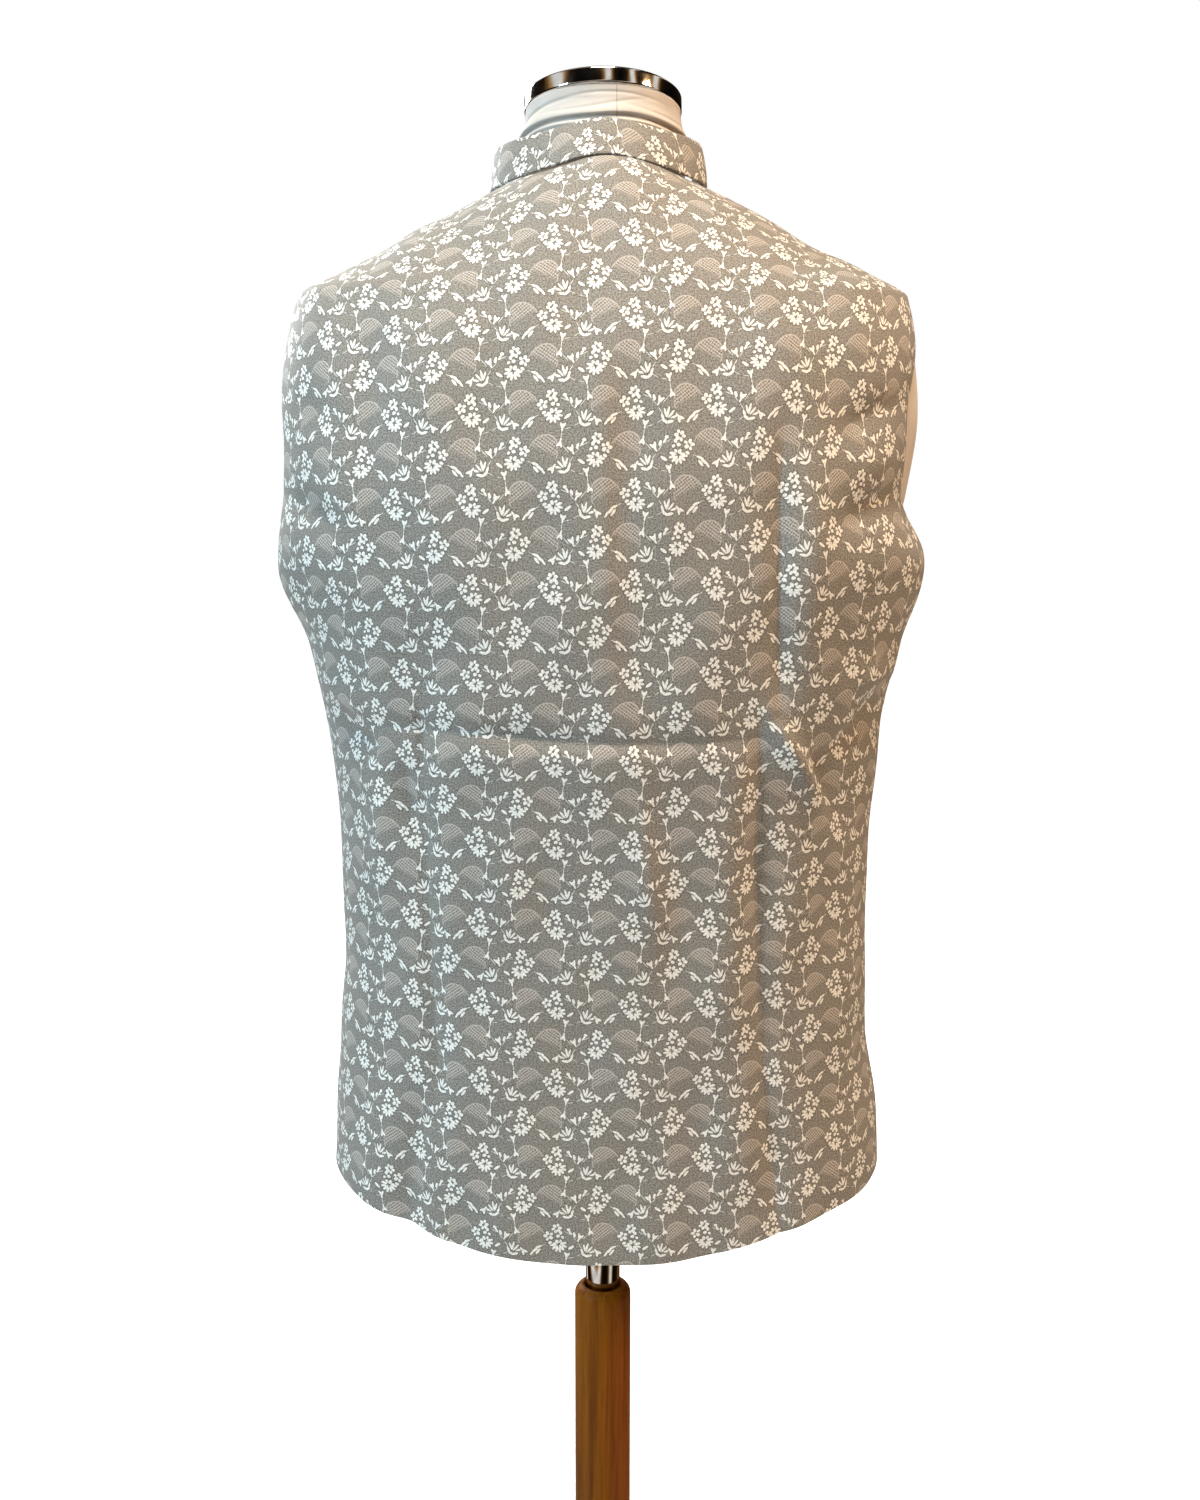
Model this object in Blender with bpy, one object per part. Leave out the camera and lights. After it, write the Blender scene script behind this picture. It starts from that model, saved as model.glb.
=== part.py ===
"""Nehru jacket, sleeveless, worn by a limbless dress form that stands on a turned wooden stand.

Units are metres and +Z is up. The origin lies on the floor under the middle of the stand, and the
jacket's front faces -Y, so the wearer's left is +X. Every height in the tables below is counted from
the hem at centre back, which is HEM_HEIGHT above the floor.
"""

import math

import bpy
import numpy as np
from mathutils import Vector

# Driving sizes
HEM_HEIGHT = 0.750  # floor to the hem at centre back
CLOTH = 0.0020  # wall of the body panels
COLLAR_CLOTH = 0.0030  # wall of the stiffened stand collar
SEAM_GAP = 0.0003  # air between neighbouring pieces
LAP = 0.0125  # how far each front reaches past centre front
LAP_DROP = 0.0024  # how far the right front lies under the left one
LAP_EASE = (-0.048, -0.017)  # x between which the right front drops under the left one

# The jacket's horizontal sections: half widths to the wearer's left and right, depths behind and
# before the axis, and the power of the superellipse that joins them.
JACKET_COLUMNS = ("height", "left", "right", "back", "front", "power")
JACKET_SECTIONS = (
    (-0.030, 0.1920, 0.2000, 0.1230, 0.1120, 2.30),
    (0.020, 0.1925, 0.1990, 0.1230, 0.1120, 2.30),
    (0.070, 0.1900, 0.1945, 0.1230, 0.1110, 2.30),
    (0.130, 0.1840, 0.1865, 0.1245, 0.1090, 2.30),
    (0.200, 0.1805, 0.1840, 0.1280, 0.1080, 2.30),
    (0.270, 0.1815, 0.1845, 0.1335, 0.1090, 2.30),
    (0.340, 0.1870, 0.1890, 0.1400, 0.1120, 2.30),
    (0.400, 0.1990, 0.2005, 0.1445, 0.1170, 2.32),
    (0.455, 0.2165, 0.2145, 0.1470, 0.1210, 2.45),
    (0.500, 0.2130, 0.1995, 0.1470, 0.1190, 2.60),
    (0.550, 0.2125, 0.2005, 0.1415, 0.1100, 2.60),
    (0.590, 0.2085, 0.2050, 0.1330, 0.0920, 2.50),
    (0.626, 0.2005, 0.2005, 0.1195, 0.0660, 2.20),
    (0.640, 0.1735, 0.1735, 0.1135, 0.0570, 2.05),
    (0.664, 0.1270, 0.1270, 0.1000, 0.0400, 2.00),
    (0.677, 0.1020, 0.1020, 0.0925, 0.0310, 2.00),
    (0.689, 0.0785, 0.0785, 0.0840, 0.0210, 2.00),
    (0.700, 0.0570, 0.0570, 0.0745, 0.0130, 2.00),
    (0.715, 0.0280, 0.0280, 0.0560, 0.0040, 2.00),
)

# The form's torso in the same way, and symmetric from side to side.
FORM_COLUMNS = ("height", "left", "right", "back", "front", "power")
FORM_SECTIONS = (
    (0.045, 0.1500, 0.1500, 0.0950, 0.0880, 2.20),
    (0.100, 0.1570, 0.1570, 0.1030, 0.0920, 2.20),
    (0.170, 0.1500, 0.1500, 0.1020, 0.0880, 2.20),
    (0.250, 0.1460, 0.1460, 0.1070, 0.0880, 2.20),
    (0.330, 0.1560, 0.1560, 0.1200, 0.0960, 2.20),
    (0.400, 0.1740, 0.1740, 0.1330, 0.1070, 2.15),
    (0.455, 0.1910, 0.1910, 0.1400, 0.1140, 2.10),
    (0.500, 0.2030, 0.2030, 0.1420, 0.1130, 1.98),
    (0.550, 0.2095, 0.2095, 0.1370, 0.1050, 1.92),
    (0.590, 0.2060, 0.2060, 0.1275, 0.0825, 1.92),
    (0.612, 0.1985, 0.1985, 0.1205, 0.0660, 1.95),
    (0.626, 0.1880, 0.1880, 0.1140, 0.0565, 1.98),
    (0.640, 0.1640, 0.1640, 0.1080, 0.0480, 2.00),
    (0.664, 0.1180, 0.1180, 0.0940, 0.0340, 2.00),
    (0.677, 0.0900, 0.0900, 0.0830, 0.0240, 2.00),
    (0.689, 0.0620, 0.0620, 0.0700, 0.0140, 2.00),
    (0.702, 0.0320, 0.0320, 0.0460, 0.0060, 2.00),
    (0.725, 0.0100, 0.0100, 0.0100, 0.0020, 2.00),
)

# Neck of the jacket: an upright oval in plan that cuts the sections, and the collar that stands on it
NECK_HALF_WIDTH = 0.0705
NECK_HALF_DEPTH = 0.0710
NECK_CENTRE = (0.0030, -0.0045)  # the jacket sits a little towards the wearer's left
COLLAR_HEIGHT = 0.0275
COLLAR_LEAN = {"front": 0.15, "back": 0.55}  # inward per unit of height
COLLAR_PROUD = 0.0008  # how far its outer face stands outside the neckline
COLLAR_LIFT = 0.0007  # air under it, more than a seam's because the neckline is steep in places
COLLAR_END_GAP = 0.0030  # from centre front to each end
COLLAR_CORNER = 0.020  # radius of the rounded front corners

HEM_RISE = 0.031  # how much higher the hem is at the side seams
HEM_POWER = 3.0  # how closely the rise keeps to the sides
UNDERARM_HEIGHT = 0.460
SHOULDER_TIP_HEIGHT = 0.626
ARMHOLE_REACH = {"back": 0.058, "front": 0.064}  # widest half opening behind and before the side line
ARMHOLE_SKEW = 0.72  # below 1 it is widest in its lower half
ARMHOLE_FULLNESS = 0.55  # below 1 its ends are rounder

# The largest folds: straight stretches from one point to the other, x to the wearer's left, each a
# soft trough whose depth is negative where it is a ridge instead.
FOLD_COLUMNS = ("side", "x_start", "height_start", "x_end", "height_end", "width", "depth")
FOLDS = (
    ("back", 0.150, 0.357, -0.104, 0.352, 0.014, 0.0022),
    ("back", -0.112, 0.490, -0.112, 0.370, 0.018, 0.0045),
    ("back", -0.104, 0.350, -0.104, 0.160, 0.018, 0.0050),
    ("back", -0.108, 0.150, -0.122, 0.010, 0.020, 0.0045),
    ("back", -0.118, 0.350, -0.150, 0.270, 0.020, -0.0040),
    ("back", 0.112, 0.350, 0.108, 0.060, 0.018, 0.0030),
    ("back", 0.128, 0.330, 0.122, 0.270, 0.020, 0.0035),
    ("back", 0.150, 0.590, 0.148, 0.510, 0.016, 0.0025),
    ("front", 0.105, 0.430, 0.085, 0.180, 0.018, 0.0035),
    ("front", -0.100, 0.420, -0.088, 0.170, 0.018, 0.0040),
    ("front", 0.110, 0.170, 0.128, 0.010, 0.020, 0.0035),
    ("front", -0.105, 0.150, -0.118, 0.010, 0.020, 0.0030),
    ("front", 0.150, 0.352, 0.060, 0.346, 0.014, 0.0018),
    ("front", -0.155, 0.350, -0.070, 0.356, 0.014, 0.0020),
)

BUTTON_HEIGHTS = (0.596, 0.486, 0.376, 0.266, 0.156)
BUTTON_RADIUS = 0.0078
BUTTON_THICKNESS = 0.0038  # at its middle
BUTTON_EDGE = 0.0012  # radius of its rounded rim
BUTTON_CLEARANCE = 0.0006

FORM_BOTTOM = 0.045
FORM_NECK = {"half_width": 0.0535, "back": 0.0475, "front": 0.0560}
NECK_BLEND = 12  # the higher, the tighter the bend from shoulder to neck
NECK_TAPER = {"share": 0.06, "height": 0.715, "length": 0.030}  # narrower under the cap
RING_SLANT = math.radians(12.7)  # its back edge is the higher one
RING_CENTRE_Y = -0.0040
RING_HEIGHT = 0.742  # underside at its centre
RING_RADIUS = 0.0512
RING_DEPTH = 0.0110
RING_EDGE = 0.0018  # radius of its rounded edges
RING_CROWN = 0.0018  # how far its top swells

ROD_RADIUS = 0.0125
POLE_RADIUS = 0.0205
POLE_TOP = -0.077
POLE_ROUNDING = 0.0075
SOCKET_RADIUS = 0.0140
SOCKET_DEPTH = 0.034
BASE_RADIUS = 0.180
BASE_THICKNESS = 0.024
BASE_ROUNDING = 0.008
BASE_CHAMFER = 0.002
SOCKET_CHAMFER = 0.0006

# Steps of the meshes
LOWER_ROWS = 13
ARMHOLE_ROWS = 10
SHOULDER_ROWS = 4
BACK_COLUMNS = 26
FRONT_COLUMNS = 14
CORNER_STEPS = 7
FORM_STEPS = 40
FORM_ROWS = (14, 14)  # below and above the shoulder
FORM_SHOULDER_SHARE = 0.78  # of the height of the form
BUTTON_STEPS = 14
ROUND_STEPS = 32
SHARP_ANGLE = math.radians(40)


def column_curve(columns, rows, name, height):
    """Value of one table column at the given heights, on a smooth curve that never overshoots."""
    at = np.array([row[0] for row in rows])
    values = np.array([row[columns.index(name)] for row in rows])
    steps = np.diff(at)
    slopes = np.diff(values) / steps
    before, after = slopes[:-1], slopes[1:]
    same = before * after > 0
    inner = np.where(same, 2 * before * after / np.where(same, before + after, 1.0), 0.0)
    tangents = np.concatenate([slopes[:1], inner, slopes[-1:]])
    height = np.clip(height, at[0], at[-1])
    k = np.clip(np.searchsorted(at, height, side="right") - 1, 0, len(steps) - 1)
    t = (height - at[k]) / steps[k]
    start = values[k] * (2 * t**3 - 3 * t**2 + 1) + values[k + 1] * (3 * t**2 - 2 * t**3)
    bend = tangents[k] * (t**3 - 2 * t**2 + t) + tangents[k + 1] * (t**3 - t**2)
    return start + bend * steps[k]


def section_radius(columns, rows, angle, height):
    """Distance from the axis to a section's outline: r = (|cos/a|^n + |sin/b|^n)^(-1/n)."""
    left = column_curve(columns, rows, "left", height)
    right = column_curve(columns, rows, "right", height)
    back = column_curve(columns, rows, "back", height)
    front = column_curve(columns, rows, "front", height)
    power = column_curve(columns, rows, "power", height)
    cosine, sine = np.cos(angle), np.sin(angle)
    across = np.abs(cosine) / np.where(cosine > 0, left, right)
    along = np.abs(sine) / np.where(sine > 0, back, front)
    return (across**power + along**power) ** (-1 / power)


def jacket_radius(angle, height):
    return section_radius(JACKET_COLUMNS, JACKET_SECTIONS, angle, height)


def form_radius(angle, height):
    """The torso's section and the neck's oval, joined by a high power so that they blend."""
    torso = section_radius(FORM_COLUMNS, FORM_SECTIONS, angle, height)
    deep = np.where(np.sin(angle) > 0, FORM_NECK["back"], FORM_NECK["front"])
    narrow = 1 - NECK_TAPER["share"] * eased((height - NECK_TAPER["height"]) / NECK_TAPER["length"])
    neck = narrow / np.hypot(np.cos(angle) / FORM_NECK["half_width"], np.sin(angle) / deep)
    return (torso**NECK_BLEND + neck**NECK_BLEND) ** (1 / NECK_BLEND)


def eased(share):
    """0 below 0, 1 above 1, and a smooth step between them."""
    t = np.clip(share, 0, 1)
    return t * t * (3 - 2 * t)


def round_points(radius, angle, height):
    return np.stack([radius * np.cos(angle), radius * np.sin(angle), height], axis=-1)


def fold_depth(points):
    """How far the folds push each point in: the sum of bell-shaped troughs along straight stretches."""
    total = np.zeros(points.shape[:-1])
    behind = points[..., 1] > 0
    for side, x_start, height_start, x_end, height_end, width, depth in FOLDS:
        start = np.array([x_start, height_start])
        run = np.array([x_end, height_end]) - start
        place = points[..., [0, 2]] - start
        share = np.clip(place @ run / (run @ run), 0, 1)
        away = np.linalg.norm(place - share[..., None] * run, axis=-1)
        swell = 0.35 + 0.65 * np.sin(math.pi * np.clip(share, 0.04, 0.96))
        trough = depth * swell * np.exp(-((away / width) ** 2))
        total += np.where(behind == (side == "back"), trough, 0)
    return total


def smooth_jacket(angle, height):
    return round_points(jacket_radius(angle, height), angle, height)


def normals_of(surface, angle, height):
    """Outward normals of surface(angle, height), from small steps along both."""
    step = 1e-4
    round_step = surface(angle + step, height) - surface(angle - step, height)
    up_step = surface(angle, height + step) - surface(angle, height - step)
    cross = np.cross(round_step, up_step)
    return cross / np.linalg.norm(cross, axis=-1, keepdims=True)


def neck_height(angle):
    """Height at which the jacket's surface meets the neck's oval, found by halving."""
    low = np.full(np.shape(angle), UNDERARM_HEIGHT)
    high = np.full(np.shape(angle), JACKET_SECTIONS[-1][0])
    for _ in range(40):
        middle = (low + high) / 2
        point = smooth_jacket(angle, middle)
        across = (point[..., 0] - NECK_CENTRE[0]) / NECK_HALF_WIDTH
        along = (point[..., 1] - NECK_CENTRE[1]) / NECK_HALF_DEPTH
        outside = np.hypot(across, along) > 1
        low = np.where(outside, middle, low)
        high = np.where(outside, high, middle)
    return (low + high) / 2


def hem_height(angle):
    return HEM_RISE * np.abs(np.cos(angle)) ** HEM_POWER


def height_at(angle, share):
    """Height at a share of the way from the hem, 0, to the neckline, 1."""
    low = hem_height(angle)
    return low + share * (neck_height(angle) - low)


def row_shares():
    """Shares of the rows: even below the underarm, closer at both ends of the armhole."""
    side = np.array(0.0)
    low, high = hem_height(side), neck_height(side)
    underarm = float((UNDERARM_HEIGHT - low) / (high - low))
    tip = float((SHOULDER_TIP_HEIGHT - low) / (high - low))
    lower = np.linspace(0, underarm, LOWER_ROWS + 1)
    turn = np.linspace(0, math.pi, ARMHOLE_ROWS + 1)
    armhole = underarm + (tip - underarm) * (1 - np.cos(turn)) / 2
    upper = np.linspace(tip, 1, SHOULDER_ROWS + 1)
    return np.concatenate([lower, armhole[1:], upper[1:]]), underarm, tip


def side_angle(share, face, side, underarm, tip):
    """Angle of a panel's side edge: half a seam from the side line, or on the armhole's curve."""
    turn = 1 if face == "back" else -1
    rise = np.clip((share - underarm) / (tip - underarm), 0, 1)
    opening = ARMHOLE_REACH[face] * np.sin(math.pi * rise**ARMHOLE_SKEW) ** ARMHOLE_FULLNESS + SEAM_GAP / 2
    offset = np.zeros_like(share)
    for _ in range(12):
        angle = turn * (offset if side == "left" else math.pi - offset)
        radius = jacket_radius(angle, height_at(angle, share))
        offset = np.arcsin(np.clip(opening / radius, -1, 1))
    return turn * (offset if side == "left" else math.pi - offset)


def centre_angle(share, x):
    """Angle of the point of the front where it reaches x, near centre front."""
    angle = np.full_like(share, -math.pi / 2)
    for _ in range(6):
        radius = jacket_radius(angle, height_at(angle, share))
        angle = -math.pi / 2 + np.arcsin(x / radius)
    return angle


def cloth_point(angle, height, drop):
    """Outer and inner faces of the cloth, with its folds, moved inward by drop."""
    outer = smooth_jacket(angle, height)
    normal = normals_of(smooth_jacket, angle, height)
    outer = outer - normal * (fold_depth(outer) + drop)[..., None]
    return outer, outer - normal * CLOTH


def lap_drop(angle, height):
    """The right front goes under the left one along an eased step."""
    x = smooth_jacket(angle, height)[..., 0]
    return LAP_DROP * eased((x - LAP_EASE[0]) / (LAP_EASE[1] - LAP_EASE[0]))


def material(name, colour, roughness, metallic=0.0):
    made = bpy.data.materials.new(name)
    made.use_nodes = True
    shader = made.node_tree.nodes["Principled BSDF"]
    shader.inputs["Base Color"].default_value = (*colour, 1.0)
    shader.inputs["Roughness"].default_value = roughness
    shader.inputs["Metallic"].default_value = metallic
    made.diffuse_color = (*colour, 1.0)
    return made


def add_object(name, points, faces, finish):
    mesh = bpy.data.meshes.new(name)
    mesh.from_pydata([tuple(point) for point in points], [], faces)
    mesh.materials.append(finish)
    mesh.shade_smooth()
    mesh.set_sharp_from_angle(angle=SHARP_ANGLE)
    made = bpy.data.objects.new(name, mesh)
    bpy.context.scene.collection.objects.link(made)
    return made


def add_wall(name, outer, inner, finish):
    """A closed wall between two grids of points, rows upward and columns anticlockwise from above."""
    rows, columns = outer.shape[:2]
    points = np.concatenate([outer.reshape(-1, 3), inner.reshape(-1, 3)])
    inside = rows * columns

    faces = []
    for row in range(rows - 1):
        for column in range(columns - 1):
            a = row * columns + column
            b, c, d = a + 1, a + columns + 1, a + columns
            faces.append((a, b, c, d))
            faces.append((a + inside, d + inside, c + inside, b + inside))
    for column in range(columns - 1):
        a = column
        b = column + 1
        faces.append((a, a + inside, b + inside, b))
        a += (rows - 1) * columns
        b += (rows - 1) * columns
        faces.append((a, b, b + inside, a + inside))
    for row in range(rows - 1):
        a = row * columns
        d = a + columns
        faces.append((a, d, d + inside, a + inside))
        b = a + columns - 1
        c = d + columns - 1
        faces.append((b, b + inside, c + inside, c))
    return add_object(name, points, faces, finish)


def add_lathe(name, profile, finish, steps=ROUND_STEPS):
    """A solid turned about Z from (radius, height) points, listed from its bottom to its top."""
    points = []
    faces = []
    rings = []
    turn = np.linspace(0, 2 * math.pi, steps, endpoint=False)
    for radius, height in profile:
        if radius == 0:
            rings.append([len(points)])
            points.append((0, 0, height))
            continue
        rings.append(list(range(len(points), len(points) + steps)))
        points += [(radius * math.cos(t), radius * math.sin(t), height) for t in turn]
    for low, high in zip(rings, rings[1:]):
        for k in range(steps):
            after = (k + 1) % steps
            if len(low) == 1:
                faces.append((low[0], high[after], high[k]))
            elif len(high) == 1:
                faces.append((low[k], low[after], high[0]))
            else:
                faces.append((low[k], low[after], high[after], high[k]))
    return add_object(name, points, faces, finish)


def arc(centre, radius, start, end, steps):
    """Points of a rounded edge in a lathe profile, angles in degrees from the outward direction."""
    turn = np.radians(np.linspace(start, end, steps))
    return [(centre[0] + radius * math.cos(t), centre[1] + radius * math.sin(t)) for t in turn]


def lifted(grid):
    """The same points with their heights counted from the floor."""
    return grid + np.array([0, 0, HEM_HEIGHT])


def panel_grid(first, last, columns, shares, drop=None):
    """Outer and inner faces of a panel between two edges given as angles, row by row."""
    across = np.linspace(0, 1, columns + 1)
    angle = first[:, None] + (last - first)[:, None] * across
    height = height_at(angle, np.broadcast_to(shares[:, None], angle.shape))
    lowered = 0.0 * angle if drop is None else drop(angle, height)
    outer, inner = cloth_point(angle, height, lowered)
    return lifted(outer), lifted(inner)


def add_panels(finish):
    shares, underarm, tip = row_shares()
    edges = {
        (face, side): side_angle(shares, face, side, underarm, tip)
        for face in ("back", "front")
        for side in ("left", "right")
    }
    grid = panel_grid(edges["back", "left"], edges["back", "right"], BACK_COLUMNS, shares)
    add_wall("jacket_back", *grid, finish)
    lap_edge = centre_angle(shares, -LAP)
    grid = panel_grid(lap_edge, edges["front", "left"], FRONT_COLUMNS, shares)
    add_wall("jacket_front_left", *grid, finish)
    lap_edge = centre_angle(shares, LAP)
    grid = panel_grid(edges["front", "right"], lap_edge, FRONT_COLUMNS, shares, lap_drop)
    add_wall("jacket_front_right", *grid, finish)


def collar_angles():
    """Angles round the neckline from centre front and back to it, on the panels' own columns."""
    shares, underarm, tip = row_shares()
    top = shares[-1:]
    seam = side_angle(top, "back", "left", underarm, tip)[0]
    front = np.linspace(centre_angle(top, -LAP)[0], -seam, FRONT_COLUMNS + 1)
    back = np.linspace(seam, math.pi - seam, BACK_COLUMNS + 1)
    end = math.asin(COLLAR_END_GAP / NECK_HALF_DEPTH)
    corner = COLLAR_CORNER / NECK_HALF_DEPTH
    near = end + corner * (1 - np.cos(np.linspace(0, math.pi / 2, CORNER_STEPS)))
    half = np.concatenate([front[:-1], [0.0], back[1 : BACK_COLUMNS // 2 + 1]]) + math.pi / 2
    half = np.concatenate([near, half[half > near[-1] + 0.04]])
    return half, end, corner


def add_collar(finish):
    """A band on the neckline, leaning in, with its two ends rounded where they meet in front."""
    half, end, corner = collar_angles()
    turned = np.concatenate([half, 2 * math.pi - half[-2::-1]])
    angle = turned - math.pi / 2
    wrapped = np.where(angle > math.pi, angle - 2 * math.pi, angle)
    base = smooth_jacket(wrapped, neck_height(wrapped))
    from_end = np.minimum(turned, 2 * math.pi - turned) - end
    inset = np.clip(1 - from_end / corner, 0, 1)
    tall = COLLAR_HEIGHT - COLLAR_CORNER * (1 - np.sqrt(1 - inset**2))
    outward = base - np.array([*NECK_CENTRE, 0])
    outward[..., 2] = 0
    outward /= np.linalg.norm(outward, axis=-1, keepdims=True)
    shares = np.linspace(0, 1, 4)[:, None]
    behind = np.clip(np.sin(wrapped), 0, 1) ** 2
    lean = COLLAR_LEAN["front"] + (COLLAR_LEAN["back"] - COLLAR_LEAN["front"]) * behind
    rise = shares * tall / np.sqrt(1 + lean**2)
    out = COLLAR_PROUD - lean * rise
    up = np.array([0, 0, 1.0])
    outer = base + outward * out[..., None] + up * (COLLAR_LIFT + rise)[..., None]
    inner = outer - outward * COLLAR_CLOTH
    add_wall("collar", lifted(outer), lifted(inner), finish)


def add_buttons(finish):
    rim = BUTTON_RADIUS - BUTTON_EDGE
    profile = [(0, 0), (rim, 0)] + arc((rim, BUTTON_EDGE), BUTTON_EDGE, -60, 60, 3)
    profile += [(rim - BUTTON_EDGE, 0.8 * BUTTON_THICKNESS), (0, BUTTON_THICKNESS)]
    for number, height in enumerate(BUTTON_HEIGHTS, start=1):
        angle, height = np.array(-math.pi / 2), np.array(height)
        outer, inner = cloth_point(angle, height, np.array(0.0))
        normal = outer - inner
        normal /= np.linalg.norm(normal)
        button = add_lathe(f"button_{number}", profile, finish, BUTTON_STEPS)
        button.location = lifted(outer) + normal * BUTTON_CLEARANCE
        button.rotation_euler = Vector(normal).to_track_quat("Z", "Y").to_euler()


def add_form(finish):
    """Torso and neck in one smooth body, from a flat bottom to a neck cut on the ring's slant."""
    turn = np.linspace(-math.pi, math.pi, FORM_STEPS, endpoint=False)
    below = np.linspace(0, FORM_SHOULDER_SHARE, FORM_ROWS[0] + 1)
    above = np.linspace(FORM_SHOULDER_SHARE, 1, FORM_ROWS[1] + 1)
    share = np.concatenate([below, above[1:]])
    top = np.full_like(turn, RING_HEIGHT)
    for _ in range(6):
        behind = form_radius(turn, top) * np.sin(turn) - RING_CENTRE_Y
        top = RING_HEIGHT - SEAM_GAP / math.cos(RING_SLANT) + math.tan(RING_SLANT) * behind
    height = FORM_BOTTOM + share[:, None] * (top - FORM_BOTTOM)
    grid = lifted(round_points(form_radius(turn[None, :], height), turn[None, :], height))
    rows, columns = grid.shape[:2]
    faces = []
    for row in range(rows - 1):
        for column in range(columns):
            after = (column + 1) % columns
            a, b = row * columns + column, row * columns + after
            faces.append((a, b, b + columns, a + columns))
    points = list(grid.reshape(-1, 3))
    low, high = len(points), len(points) + 1
    points += [grid[0].mean(axis=0), grid[-1].mean(axis=0)]
    last = (rows - 1) * columns
    for column in range(columns):
        after = (column + 1) % columns
        faces.append((low, after, column))
        faces.append((high, last + column, last + after))
    add_object("form_torso", points, faces, finish)


def add_ring(finish):
    side = RING_RADIUS - RING_EDGE
    profile = [(0, 0), (side, 0)] + arc((side, RING_EDGE), RING_EDGE, -60, 0, 3)
    profile += arc((side, RING_DEPTH - RING_EDGE), RING_EDGE, 0, 90, 4)
    profile += [(0.6 * side, RING_DEPTH + 0.7 * RING_CROWN), (0, RING_DEPTH + RING_CROWN)]
    ring = add_lathe("form_neck_cap", profile, finish)
    ring.location = (0, RING_CENTRE_Y, HEM_HEIGHT + RING_HEIGHT)
    ring.rotation_euler = (RING_SLANT, 0, 0)


def add_stand(wood, chrome):
    top = HEM_HEIGHT + POLE_TOP
    socket = top - SOCKET_DEPTH
    round_top = arc((POLE_RADIUS - POLE_ROUNDING, top - POLE_ROUNDING), POLE_ROUNDING, 0, 80, 5)
    foot = BASE_THICKNESS + SEAM_GAP
    profile = [(0, foot), (POLE_RADIUS, foot)] + round_top
    profile += [(SOCKET_RADIUS, top - SOCKET_CHAMFER), (SOCKET_RADIUS, socket), (0, socket)]
    add_lathe("stand_pole", profile, wood)
    rod_top = HEM_HEIGHT + FORM_BOTTOM - SEAM_GAP
    rod = [(0, socket + SEAM_GAP), (ROD_RADIUS, socket + SEAM_GAP), (ROD_RADIUS, rod_top), (0, rod_top)]
    add_lathe("stand_rod", rod, chrome)
    corner = (BASE_RADIUS - BASE_ROUNDING, BASE_THICKNESS - BASE_ROUNDING)
    profile = [(0, 0), (BASE_RADIUS - BASE_CHAMFER, 0), (BASE_RADIUS, BASE_CHAMFER)]
    profile += arc(corner, BASE_ROUNDING, 0, 90, 5) + [(0, BASE_THICKNESS)]
    add_lathe("stand_base", profile, wood)


def main():
    for old in list(bpy.data.objects):
        bpy.data.objects.remove(old)
    cloth = material("jacquard cloth", (0.36, 0.34, 0.30), 0.75)
    plain = material("grey horn button", (0.20, 0.18, 0.16), 0.35)
    jersey = material("cream jersey", (0.72, 0.68, 0.63), 0.85)
    chrome = material("chrome plate", (0.60, 0.60, 0.61), 0.08, 1.0)
    wood = material("varnished wood", (0.25, 0.10, 0.02), 0.35)
    add_panels(cloth)
    add_collar(cloth)
    add_buttons(plain)
    add_form(jersey)
    add_ring(chrome)
    add_stand(wood, chrome)


main()
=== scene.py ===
import math

import bpy
import numpy as np
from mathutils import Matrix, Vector


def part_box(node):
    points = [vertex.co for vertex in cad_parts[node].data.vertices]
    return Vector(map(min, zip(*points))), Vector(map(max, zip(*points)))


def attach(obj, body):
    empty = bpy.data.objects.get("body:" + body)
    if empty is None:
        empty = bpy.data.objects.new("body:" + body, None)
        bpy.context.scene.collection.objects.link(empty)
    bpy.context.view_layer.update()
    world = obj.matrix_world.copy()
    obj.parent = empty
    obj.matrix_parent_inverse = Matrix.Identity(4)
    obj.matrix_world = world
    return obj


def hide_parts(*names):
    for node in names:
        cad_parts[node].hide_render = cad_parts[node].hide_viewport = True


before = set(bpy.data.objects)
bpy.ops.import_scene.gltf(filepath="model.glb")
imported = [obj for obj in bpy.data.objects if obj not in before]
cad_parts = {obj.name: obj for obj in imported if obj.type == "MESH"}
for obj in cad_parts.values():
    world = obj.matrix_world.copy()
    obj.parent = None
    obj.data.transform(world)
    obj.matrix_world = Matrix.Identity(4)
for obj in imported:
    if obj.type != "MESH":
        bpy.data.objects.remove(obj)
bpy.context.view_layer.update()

# A sleeveless nehru jacket in floral jacquard on a limbless dress form. Metres, +Z up, the jacket's
# front faces -Y, so its wearer's left is +X. Heights in the tables are counted from the hem at centre
# back, and angles run anticlockwise from +X as seen from above.

hemFloor = round(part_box("jacket_back")[0].z, 3)
print("frame loaded, hem at", hemFloor)


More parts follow.
